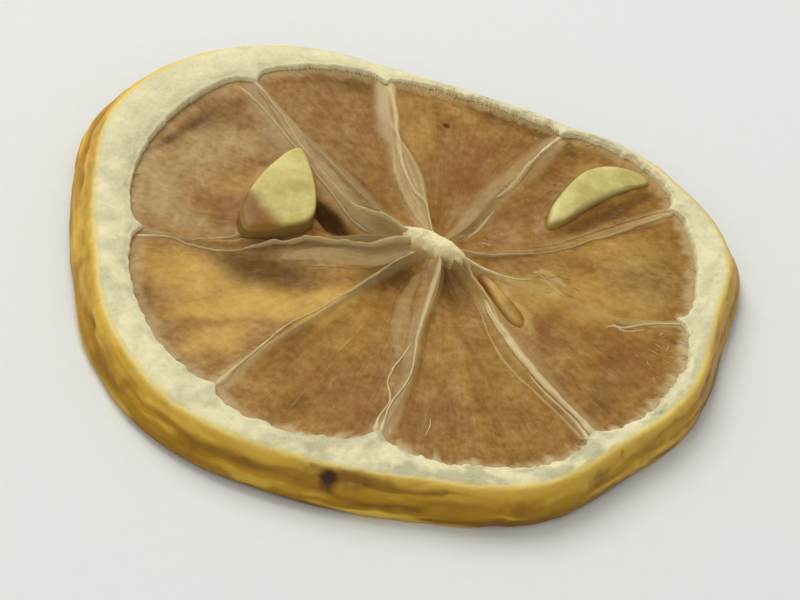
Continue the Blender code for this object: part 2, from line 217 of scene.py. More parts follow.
# Membranes, anticlockwise: bearing at the core, one third, two thirds and the pith, reach and
# stand; then the film on each side of the line at five places on the way out (left is
# anticlockwise), how plain it shows, and how creamy and how grey it is; last how far the pith
# flares in along it, and half how wide.
membranes = [
    dict(bend=(-27, -18, -15, -6.5), reach=19.2, stand=.3, left=(.5, .6, .5, .3, .5),
         right=(.3, .3, .3, .4, .5), show=(.6, .35, .08, .25, .7), cream=.5, grey=.1, flare=(.7, .5)),
    dict(bend=(-3, 14, 24, 31), reach=20, stand=.55, left=(.5, .7, 1.1, 1, .7), right=(.3, .3, .3, .3, .6),
         show=(.5, .22, .22, .38, .85), cream=.35, grey=.1, flare=(.9, .5)),
    dict(bend=(45, 61, 63, 64), reach=17.8, stand=.3, left=(.5, 1.2, 1.3, 1, .6), right=(.4, 1, 1.1, .9, .5),
         show=(.4, .35, .38, .42, .85), cream=.4, grey=.2, flare=(.9, .6)),
    dict(bend=(112, 108, 114, 111), reach=18, stand=.75, left=(.7, 1.5, 1.6, .9, .8),
         right=(.3, .3, .2, .3, .7), show=(.8, .65, .6, .8, 1), cream=.5, grey=.2, flare=(.9, .5)),
    dict(bend=(165, 149, 143, 140), reach=21.6, stand=.85, left=(.9, 2, 2.3, 2.2, 1.3),
         right=(.9, .8, .5, .3, .6), show=(.8, .75, .65, .6, .85), cream=.2, grey=.6, flare=(1, .8)),
    dict(bend=(186, 196, 198, 194), reach=22.3, stand=.95, left=(1.3, 2.2, 1.9, .5, .8),
         right=(.3, .3, .3, .3, .6), show=(.9, .8, .25, .15, .7), cream=.15, grey=.7, flare=(.7, .6)),
    dict(bend=(229, 236, 237, 238.5), reach=25.4, stand=.65, left=(.5, .45, .4, .4, .9),
         right=(.4, .4, .35, .4, .9), show=(.7, .45, .4, .5, .9), cream=.35, grey=0, flare=(1.3, .85)),
    dict(bend=(290, 274, 271.5, 267), reach=21.9, stand=.8, left=(.4, .3, .3, .4, 1),
         right=(.5, 1.1, 1.3, .9, 1), show=(.5, .4, .3, .42, .85), cream=.35, grey=.3, flare=(1.15, .8)),
    dict(bend=(322, 311, 310, 310.5), reach=22.1, stand=.6, left=(.7, .9, .8, .7, 1),
         right=(.3, .6, 1.2, .9, .9), show=(.45, .4, .42, .45, .9), cream=.25, grey=.1, flare=(1.1, 1)),
]
# Flesh after each membrane: bulge of its edge, draw of the sheet, hollow by the core.
stretches = [
    (.2, .25, .3), (.9, -.15, .35), (-.5, .15, .45), (.5, .1, .4), (.9, -.35, 1.1), (.4, -.2, .75),
    (1.25, -.3, .8), (1.7, .05, .95), (.85, .15, .55),
]
# Seeds: outline in plan, level of the upper side, its rise towards +X and +Y per millimetre,
# the foot, how full the edge is, how far the flesh stands up against it or sinks under it, and
# the border's place, as shares of the way out, and how plain it is.
seeds = dict(
    seed_left=dict(outline=[(-9.2, 10.2), (-8.3, 8.6), (-7.6, 6.7), (-7.15, 4.9), (-7, 3.2), (-7.5, 1.9),
        (-8.9, .9), (-10.4, 0), (-11.6, -.3), (-12.3, 1.2), (-12.4, 2.9), (-12, 4.7), (-11.5, 6.5),
        (-10.8, 8.2), (-10, 9.7)], middle=(-9.6, 4.6), top=3.86, slopeX=.02, slopeY=.01, foot=1.15, full=9,
        collar=.26, sunk=0, rim=(.8, .95), rimPlain=.6),
    seed_right=dict(outline=[(10.1, 8.4), (10, 10.1), (10.5, 12), (11.2, 13.9), (12.2, 15.7), (13.6, 16.9),
        (15.2, 17.4), (16.6, 17.2), (17.1, 16.4), (16, 15.3), (14.7, 14), (13.4, 12.4), (12.2, 10.7),
        (11.1, 9.1)], middle=(13, 13.2), top=3.55, slopeX=-.1, slopeY=.05, foot=1.5, full=5, collar=.32,
        sunk=0, rim=(.8, .95), rimPlain=.6),
    seed_low=dict(outline=[(5.8, 2.6), (6.8, 1.8), (7.9, .6), (9, -.6), (9.9, -1.8), (10.3, -2.9),
        (9.9, -3.6), (8.9, -3.1), (8, -2.1), (7.2, -.9), (6.4, .5), (5.8, 1.7)], middle=(8, -.7), top=2.78,
        slopeX=0, slopeY=0, foot=1, full=2.4, collar=0, sunk=.07, rim=(.35, .95), rimPlain=.9),
)
fields = len(membranes)
coreX, coreY = np.add(sliceForm["middle"], sliceForm["coreAt"])
reaches = np.array([m["reach"] for m in membranes])
lastBends = np.array([m["bend"][3] for m in membranes])
bulges, draws, hollows = np.array(stretches).T


# Place in plan at a bearing and a distance from the core.
def planAt(bearing, radius):
    t = np.radians(bearing)
    return coreX + radius * np.cos(t), coreY + radius * np.sin(t)


# Radius of the core's oval at a bearing: 1 / hypot(cos / long, sin / wide).
def coreRadius(bearing):
    t = np.radians(bearing - sliceForm["coreTurn"])
    return 1.0 / np.sqrt((np.cos(t) / sliceForm["coreLong"]) ** 2
                         + (np.sin(t) / sliceForm["coreWide"]) ** 2)


# Reach of the flesh's edge: straight from membrane to membrane, bowed out between them.
def edgeReach(number, share):
    after = (number + 1) % fields
    bow = 1 - np.abs(2 * np.clip(share, 0, 1) - 1) ** sliceForm["lobeSquare"]
    return reaches[number] + share * (reaches[after] - reaches[number]) + bulges[number] * bow


# Bearings of all membranes at a way out v, stacked.
def membraneLines(v):
    return np.stack([curveThrough(m["bend"], v) for m in membranes])


# From a stack, each point's own layer.
def pick(stack, number):
    return np.take_along_axis(stack, number[None], 0)[0]


# Bearing, radius and width of a stretch, at a share across it and a way out v from 0 to 1: the
# bearing runs between its two bent membranes, the radius from the core to the edge.
def fleshAt(number, share, v):
    lines = membraneLines(v)
    after = (number + 1) % fields
    first = pick(lines, number)
    wide = pick(lines, after) + np.where(after == 0, 360.0, 0.0) - first
    bearing = first + share * wide
    inside = coreRadius(bearing)
    radius = inside + v * (edgeReach(number, share) - inside)
    return bearing, radius, np.radians(wide) * radius


# The other way round: stretch, share and way out of points in plan. The way out starts from
# the edge between the membranes' ends, and is corrected with the edge at the share found.
def locate(x, y):
    radius, bearing = np.hypot(x - coreX, y - coreY), np.degrees(np.arctan2(y - coreY, x - coreX))
    inside, edge = coreRadius(bearing), fleshReach(bearing)
    for turn in range(4):
        v = np.clip((radius - inside) / (edge - inside), 0.0, 1.04)
        lines = membraneLines(v)
        steps = np.mod(lines - lines[0], 360.0)
        past = np.mod(bearing - lines[0], 360.0)
        number = np.sum(steps <= past, axis=0) - 1
        steps = np.concatenate([steps, np.full((1,) + v.shape, 360.0)])
        first = pick(steps, number)
        share = (past - first) / (pick(steps, number + 1) - first)
        edge = edgeReach(number, share)
    return number, share, v


# Value at a bearing, from a table of bearings and values.
def aroundTable(bearing, at, values):
    order = np.argsort(at % 360.0)
    return np.interp(bearing % 360.0, (at % 360.0)[order], values[order], period=360.0)


# Distance from the core to the peel's foot, which is given from the middle of the ring.
def peelReach(bearing):
    radius = curveThrough(sliceForm["peelRadii"], rimBearing / 360.0, True)
    x = radius * np.cos(np.radians(rimBearing)) - sliceForm["coreAt"][0]
    y = radius * np.sin(np.radians(rimBearing)) - sliceForm["coreAt"][1]
    return aroundTable(bearing, np.degrees(np.arctan2(y, x)), np.hypot(x, y))


edgeSteps = 60  # of each stretch
edgeNumber = np.repeat(np.arange(fields), edgeSteps)
edgeShare = np.tile(np.arange(edgeSteps) / edgeSteps, fields)
edgeBearing, edgeRadius, _ = fleshAt(edgeNumber, edgeShare, np.ones(fields * edgeSteps))
rimBearing = np.arange(0.0, 360.0, .5)


# Distance from the core to the flesh's edge at a bearing.
def fleshReach(bearing):
    return aroundTable(bearing, edgeBearing, edgeRadius)


# Width, lift, turn and share of the height left, of the ring at a bearing.
def ringFigures(bearing):
    width = peelReach(bearing) - fleshReach(bearing)
    lift, turn, left = (curveThrough(sliceForm[word], bearing / 360, True)
                        for word in ("lift", "turn", "left"))
    return width, np.maximum(lift, 0.0), np.radians(turn), left


# Point of the ring's section turned about the middle of the section, then lifted.
def turned(s, z, width, lift, turn):
    middle = .5 * sliceForm["ringHigh"]
    across, rise = s - .5 * width, z - middle
    out = .5 * width + across * np.cos(turn) - rise * np.sin(turn)
    return out, middle + rise * np.cos(turn) + across * np.sin(turn) + lift


# Levels round the ring where the middle of the flesh joins it, and of the pith's inner edge.
rimWidth, rimLift, rimTurn, rimLeft = ringFigures(rimBearing)
joinMiddle = sliceForm["ringHigh"] - sliceForm["fleshDrop"] - .5 * sliceForm["fleshThick"]
joinLevel = turned(0.0, joinMiddle, rimWidth, rimLift, rimTurn)[1]
rimMiddle = sliceForm["rimHigh"] * rimLeft * sliceForm["ringHigh"]
rimLevel = turned(0.0, rimMiddle, rimWidth, rimLift, rimTurn)[1] - sliceForm["sink"]


# Middle level of the flesh: from the core to the ring, drawn down or up across each stretch and
# hollowed by the core. Also how far into the stretch, and the level of the pith's edge beyond.
def fleshLevel(number, share, v):
    after = (number + 1) % fields
    wide = lastBends[after] + np.where(after == 0, 360.0, 0.0) - lastBends[number]
    outer = lastBends[number] + share * wide
    middle = .5 * (sliceForm["coreTop"] + sliceForm["coreFoot"])
    belly = np.sin(np.pi * np.clip(share, 0, 1)) ** .8
    level = middle + (aroundTable(outer, rimBearing, joinLevel) - middle) * ramp(v, -.2, 1.1)
    level = level + draws[number] * belly * np.sin(np.pi * np.clip(v, 0, 1)) ** .8
    level = level - hollows[number] * belly * np.exp(-(((v - .13) / .13) ** 2))
    return level, belly, aroundTable(outer, rimBearing, rimLevel)


# Smooth closed outline of a seed in plan.
def seedOutline(form, count):
    t = np.arange(count) / count
    return joined(*(curveThrough(corners, t, True) for corners in zip(*form["outline"])))


# Distance outside a seed's outline, negative within it: the least distance from its straight
# steps, with its sign from the times that a line along +X crosses the outline.
def seedAway(form, x, y):
    away = np.full(np.shape(x), 9.0)
    line = seedOutline(form, 60)
    low, high = line.min(axis=0) - 3.0, line.max(axis=0) + 3.0
    near = (x > low[0]) & (x < high[0]) & (y > low[1]) & (y < high[1])
    if near.any():
        p = joined(x[near], y[near])[:, None]
        a, b = line[None], np.roll(line, -1, 0)[None]
        run = b - a
        t = np.clip(np.sum((p - a) * run, axis=2) / np.sum(run * run, axis=2), 0, 1)
        least = np.linalg.norm(p - a - t[..., None] * run, axis=2).min(axis=1)
        straddles = (a[..., 1] > p[..., 1]) != (b[..., 1] > p[..., 1])
        rise = np.where(run[..., 1] == 0, 1e-9, run[..., 1])
        crossing = a[..., 0] + (p[..., 1] - a[..., 1]) / rise * run[..., 0]
        inside = np.sum(straddles & (crossing > p[..., 0]), axis=1) % 2 == 1
        away[near] = np.where(inside, -least, least)
    return away


fleshForm = dict(
    columns=648, rows=118, underRows=20,
    edgeDense=.5,  # how much closer the columns stand along the membranes
    wrinkleHigh=.032,  # height of the radial wrinkles
    puckerHigh=.08,  # height of the broad unevenness
    ridgeWide=.3,  # half width of the fold along a membrane
    filmHigh=.06,  # height of the folds in the film beside it
    hollowDeep=.7,  # depth of the gaps beside the left seed
    scraps=[.6, .45, .25, .3, .3, .25, .25, .35, .5, .8, .85, .9],  # pith along the edge, every 30 degrees
    mapRadius=14,  # where the map is true to size
    floorGap=.2,  # least height of the underside
)
# Patches of the flesh: where, radii along and across, turn, and how strong.
patches = dict(
    # amber: pulp dried clear, painted lighter as painted light shining through it
    amberGlow=[(-9.3, -6.9, 6.2, 2.3, 8, 1), (-14.6, -5.2, 4.2, 3, -15, .9), (-5.2, -5.6, 3.3, 1.5, 45, .85),
        (-11.4, -11.6, 3.6, 1.9, 50, .75), (-12.4, -8.6, 3.4, 1.7, 18, .95), (8.8, -7, 5, 3.2, -55, .12),
        (13.8, 2, 6, 3, 10, .55), (15.4, 7.9, 4.2, 2.4, 25, .38), (-2.5, -7.5, 4, 2.6, 60, .25),
        (5.2, -8, 3.6, 3.6, 0, .22), (-1.5, 15, 2, 4, 10, .28), (8, -.8, 1.5, 2.9, 38, .85),
        (-12.5, 7, 2.6, 1.6, 40, .25)],
    # mauve: painted shade, mauve-brown, under the membranes' sheets, in the hollows by the core and under
    # the far rim
    mauveShade=[(-.6, .2, 2.1, 2.7, -35, 1), (4, 0, 1.5, 2.9, 10, .8), (-9.9, -2.6, 3.7, 2, -4, 1),
        (-13.2, -1.9, 2.2, .7, 10, .4), (6.5, 20.2, 5, 1.3, -4, .8), (-6.5, 20, 5, 1.6, 12, .75),
        (10.2, 18.4, 2, 1.7, 0, .6), (-15.8, 13.6, 3.5, .9, 52, .5), (-3.5, 8.2, 2.2, .8, -35, .4),
        (16.6, -7.8, 2.6, 1.6, 60, .25)],
    # dark: gaps and grooves, sunk in the flesh and painted dark brown as the shade in them
    dark=[(-5.7, 4.4, 2.1, 1.3, -35, 1), (-9.4, .35, 3.4, .5, 14, .74), (-3.3, 3.75, 1.2, .45, -5, .9),
        (4.2, 1.4, .8, 1, 0, .4), (14.6, 12, 4.6, .55, 50, .6), (-18.8, 9.6, 3.6, .4, 56, .5),
        (-8.6, 20.8, 4, .35, 10, .35), (-11.7, 8.9, .5, .35, 20, .5), (1.1, 17.2, .28, .28, 0, .8),
        (6.8, -7.4, 3.6, .3, -58, .25)],
    olive=[(-18.6, 3.5, 4.2, 2.6, 100, 1), (-16.4, 9, 3.4, 2.3, 60, .85), (-15.8, .6, 3.2, 1.4, -10, .6),
        (-12.8, 11.2, 2.8, 1.6, 40, .4), (18, 5, 3, 4, 0, .3)],
    red=[(3.6, 13.2, 2.8, 4.8, -10, .45), (-12.9, 2.4, 1.3, 2.2, 0, .7), (11.2, -2.9, .7, 1.6, 15, .8),
        (2.2, -15, 6, 2.4, 5, .35), (17.5, -4.2, 3, 3.4, 0, .3), (-6, 17.4, 4, 3, 0, .3),
        (-4.8, -12.2, 4.5, 2.2, -30, .15), (-14.6, -9.2, 3, 2, -50, .2), (6.4, 9.8, 2.4, 3, -20, .25)],
)


# Largest strength of the patches of one kind: soft ovals, with edges frayed by noise.
def patchMask(kind, x, y):
    fray = .22 * planNoise(x, y, 1.7, 20, 51)
    total = np.zeros(np.broadcast(x, y).shape)
    for px, py, long, wide, turn, strength in patches[kind]:
        c, s = math.cos(math.radians(turn)), math.sin(math.radians(turn))
        u, w = ((x - px) * c + (y - py) * s) / long, ((y - py) * c - (x - px) * s) / wide
        oval = ramp(np.sqrt(u * u + w * w) + fray, 1.4, .45 if kind == "dark" else .2)
        total = np.maximum(total, strength * oval)
    return total


# Film of the membranes over the flesh, from the nearer one: how plain, how creamy, how grey,
# and the soft folds in it, which run along the membrane.
def filmOver(number, share, v, arc):
    best, cream, grey, folds = np.zeros((4,) + v.shape)
    for which, side, sign, away in ((number, "left", 1, share * arc),
                                    ((number + 1) % fields, "right", -1, (1 - share) * arc)):
        for k, m in enumerate(membranes):
            here = which == k
            if not here.any():
                continue
            out, off = v[here], away[here]
            rag = .22 * layeredNoise(out * 9 + 7 * k, off * .6 + 30, 71 + k, 2)
            amount = curveThrough(m["show"], out) * ramp(off / curveThrough(m[side], out) + rag, 1.3, .5)
            drift = .5 * softNoise(out * 4, .5, 90 + k)
            fold = .7 * softNoise(sign * off * 1.9 + 50 + drift, out * 2.2 + 3 * k, 81 + k)
            fold = fold + .3 * softNoise(sign * off * 5.0 + 20, out * 5 + 3 * k, 88 + k)
            larger = amount > best[here]
            for kept, new in ((cream, m["cream"]), (grey, m["grey"]), (folds, fold), (best, amount)):
                kept[here] = np.where(larger, new, kept[here])
    return best, cream, grey, folds


# Upper side of the flesh at shares and ways out: its level and half its thickness, then a fold
# along each membrane, folds in the film, broad puckers, wrinkles that fan out from the core,
# gaps beside the left seed, flesh standing up at the seeds, and a dip under the pith's edge.
def fleshTop(number, share, v):
    f = fleshForm
    bearing, radius, arc = fleshAt(number, share, v)
    level, belly, rim = fleshLevel(number, share, v)
    x, y = planAt(bearing, radius)
    film, cream, grey, folds = filmOver(number, share, v, arc)
    torn = v + .035 * layeredNoise(bearing / 1.6, radius / 1.2, 95, 3, 225)
    torn = curveThrough(f["scraps"], bearing / 360, True) * ramp(torn, .945, .995)
    cream = np.where(torn > film, .75, cream)
    grey = np.where(torn > film, .3, grey)
    film = np.maximum(film, torn)
    z = level + .5 * sliceForm["fleshThick"]
    stands = np.array([m["stand"] for m in membranes])
    sinks = .42 * (.5 + .5 * np.cos(sliceForm["ridgeSink"] * v)) * (.4 + .6 * ramp(v, 0.0, .12))
    for which, away in ((number, share * arc), ((number + 1) % fields, (1 - share) * arc)):
        z = z + stands[which] * sinks * np.exp(-((away / f["ridgeWide"]) ** 2))
    z = z + f["filmHigh"] * film * folds + f["puckerHigh"] * planNoise(x, y, 2.3, 40, 11, 2) * belly
    wander = 1.2 * planNoise(x, y, 3.0, 9, 21, 2)
    fine = softNoise((bearing + wander) * .8, radius / 2.6 + .6 * wander, 31, 288) * ramp(radius, 6, 12)
    wide = softNoise((bearing + wander) * .35, radius / 4.0 + .4 * wander, 32, 126)
    pits = planNoise(x, y, .7, 4, 33, 2)
    bare = (1.0 - .6 * ramp(patchMask("amberGlow", x, y), .3, .9)) * belly * (1 - .7 * film)
    z = z + f["wrinkleHigh"] * bare * (.45 * fine + .6 * wide + .8 * pits)
    z = z - f["hollowDeep"] * ramp(patchMask("dark", x, y), .55, 1.0)
    for form in seeds.values():
        away = seedAway(form, x, y)
        z = z + form["collar"] * np.exp(-(((away - .1) / .45) ** 2)) - form["sunk"] * ramp(away, .25, -.15)
    z = z - ramp(v, .86, 1.0) * np.maximum(z - rim + .05, 0.0)
    streak = .6 * wide + .4 * fine + .35 * pits + .5 * planNoise(x, y, 3.4, 70, 133, 2)
    return dict(x=x, y=y, z=z, bearing=bearing, radius=radius, streak=streak,
                film=film, cream=cream, grey=grey, folds=folds)


# Layers that the flesh's material reads: streaks, patches, and the film with its folds.
def fleshLayers(at):
    zone = joined(*(patchMask(kind, at["x"], at["y"]) for kind in ("amberGlow", "mauveShade", "olive", "dark")))
    cover = joined(at["film"], at["cream"], at["grey"], .5 + .5 * at["folds"])
    return dict(streak=at["streak"], zone=zone, cover=cover, ruddy=patchMask("red", at["x"], at["y"]))


fleshFinish = dict(
    dark="6d420d", brown="8a5c0d", tan="a0742e", light="be9551",
    # the amber pair is lightened as painted light through clear pulp; the mauve and hole pairs are painted
    # shade
    amberGlow=("ba8d30", "d9b055"), mauveShade=("53340f", "7c5925"), olive=("957437", "c4a76b"),
    shadedHole=("4d2a12", "4d2a12"), ruddy=("834c0d", "834c0d"), glint="d9be81",
    filmTan="a88147", filmGrey="957b51", filmCream="e4d09b",
    fibreMm=.2, threadMm=.11, cloudMm=2.2, grainMm=.55,
)
dried = dict(IOR=1.45, Subsurface_Weight=.12, Subsurface_Scale=.0006)  # thin dry plant tissue
rgba = dict(out=2, data_type="RGBA")  # a mix of colours: its sockets are 0, 6 and 7


# Shrunken juice sacs, dried to a leathery film: brown with fine fibres that fan out from the
# core, satin and a little see-through, amber where it dried clear and painted lighter there as
# painted light shining through. Mauve is painted shade, and the dark holes are painted shade in
# the gaps. Parchment lies over it beside the membranes, in soft folds with painted shade in
# their troughs.
def fleshMaterial(name, roughness):
    f = fleshFinish
    made, add, shader, place = newMaterial(name, **dried, Roughness=roughness,
                                            Subsurface_Radius=(1.0, .6, .3))
    streak, ruddy = (add("Attribute", out="Fac", attribute_name=word) for word in ("streak", "ruddy"))
    zone, cover = (add("Attribute", out="Color", attribute_name=word) for word in ("zone", "cover"))
    amberGlow, mauveShade, olive = add("SeparateColor", [zone]).node.outputs
    film, cream, grey = add("SeparateColor", [cover]).node.outputs
    shadedHole, folds = zone.node.outputs["Alpha"], cover.node.outputs["Alpha"]
    # fibres finer than the mesh run out from the core, and the palest threads are longer
    along = place.node.outputs["UV"]
    fibre = add("Mapping", {"Vector": along, "Scale": (1 / f["fibreMm"], .5, 1.0)})
    fibre = add("TexNoise", {"Vector": fibre, "Scale": 1.0, "Detail": 3.0, "Distortion": .5})
    thread = add("Mapping", {"Vector": along, "Location": (31, 17, 0),
                             "Scale": (1 / f["threadMm"], .55, 1.0)})
    thread = add("TexNoise", {"Vector": thread, "Scale": 1.0, "Detail": 1.0, "Distortion": .8})
    cloud, grain = (add("TexNoise", {"Vector": place, "Scale": 1000 / size, "Detail": detail})
                    for size, detail in ((f["cloudMm"], 4.0), (f["grainMm"], 3.0)))
    # tone: shares of the streaks, the fibres, the clouds and the grain, about a middle of 0.5
    tone = .12
    for value, share in ((streak, .05), (fibre, .14), (cloud, .36), (grain, .26)):
        tone = add("Math", [value, share, tone], operation="MULTIPLY_ADD")
    colour = add("ValToRGB", [tone], [(.3, f["dark"]), (.44, f["brown"]), (.56, f["tan"]),
                                      (.72, f["light"])])
    # amber is lightened as painted light, and mauve and the holes are painted shade
    for word, mask in dict(ruddy=ruddy, amberGlow=amberGlow, olive=olive, mauveShade=mauveShade, shadedHole=shadedHole).items():
        other = add("ValToRGB", [tone], list(zip((.34, .66), f[word])))
        colour = add("Mix", {0: mask, 6: colour, 7: other}, **rgba)
    glint = add("MapRange", [thread, .66, .8, 0.0, .22])
    colour = add("Mix", {0: glint, 6: colour, 7: f["glint"]}, **rgba)
    parchment = add("Mix", {0: grey, 6: f["filmTan"], 7: f["filmGrey"]}, **rgba)
    parchment = add("Mix", {0: cream, 6: parchment, 7: f["filmCream"]}, **rgba)
    # the folds darken the parchment in their troughs and lighten it on their crests: painted shade and
    # painted light
    shade = add("MapRange", [folds, .2, .8, .88, 1.08])
    parchment = add("Mix", {0: 1.0, 6: parchment, 7: shade}, **rgba, blend_type="MULTIPLY")
    veil = add("MapRange", [fibre, .3, .7, .86, 1.05])
    amount = add("Math", [film, veil], operation="MULTIPLY")
    colour = add("Mix", {0: amount, 6: colour, 7: parchment}, **rgba)
    # the places of painted shade, mauve and holes, are dull
    dull = add("Math", [mauveShade, .85], operation="MULTIPLY")
    dull = add("Math", [shadedHole, dull], operation="MAXIMUM")
    gloss = add("MapRange", [dull, 0.0, 1.0, .3, .04])
    rough = add("MapRange", [tone, .35, .65, roughness + .08, roughness - .06])
    low = add("Bump", {"Height": fibre, "Strength": .2, "Distance": .0001})
    high = add("Bump", {"Height": grain, "Strength": .45, "Distance": .0001, "Normal": low})
    setSockets(shader, {"Base Color": colour, "Specular IOR Level": gloss, "Roughness": rough,
                        "Normal": high})
    return made


# The sheet of flesh: the upper side from the core to the pith, then the underside back, which
# is the same sheet half a thickness below its middle, and lower under the seeds.
def fleshPiece():
    f = fleshForm
    arcs = np.mod(np.roll(lastBends, -1) - lastBends, 360.0)
    counts = np.round(f["columns"] * arcs / 360.0).astype(int)
    number = np.repeat(np.arange(fields), counts)
    share = np.concatenate([np.arange(n) / n for n in counts])
    share = share - f["edgeDense"] * np.sin(2 * np.pi * share) / (2 * np.pi)
    inner, outer = .02, 1.03  # the sheet's ends, as ways out
    at = fleshTop(*np.broadcast_arrays(number, share, np.linspace(inner, outer, f["rows"])[:, None]))
    under = np.broadcast_arrays(number, share, np.linspace(outer, inner, f["underRows"])[:, None])
    bearing, radius, _ = fleshAt(*under)
    level, belly, _ = fleshLevel(*under)
    x, y = planAt(bearing, radius)
    z = level - .5 * sliceForm["fleshThick"] + .14 * planNoise(x, y, 2.2, 60, 61) * belly
    for form in seeds.values():
        z = z + ramp(seedAway(form, x, y), 1.3, .2) * (.3 - z)
    z = np.maximum(z, f["floorGap"])
    under = dict(x=x, y=y, z=z, bearing=bearing, radius=60 - radius, streak=1.2 * layeredNoise(x, y, 62),
                 **dict.fromkeys(("film", "cream", "grey", "folds"), 0 * x))
    whole = {key: np.concatenate([at[key], under[key]]) for key in at}
    uv = joined(np.radians(whole["bearing"]) * f["mapRadius"], whole["radius"])
    ends = ((coreX, coreY, at["z"][0].mean() - .2), (coreX, coreY, z[-1].mean()))
    surface = closedGrid(joined(whole["x"], whole["y"], whole["z"]), uv, fleshLayers(whole),
                         ends=ends, span=(2 * math.pi * f["mapRadius"], 0.0))
    return pieceFrom("flesh", [surface], fleshMaterial("dried lemon flesh, leathery and satin", .46))


flesh = fleshPiece()

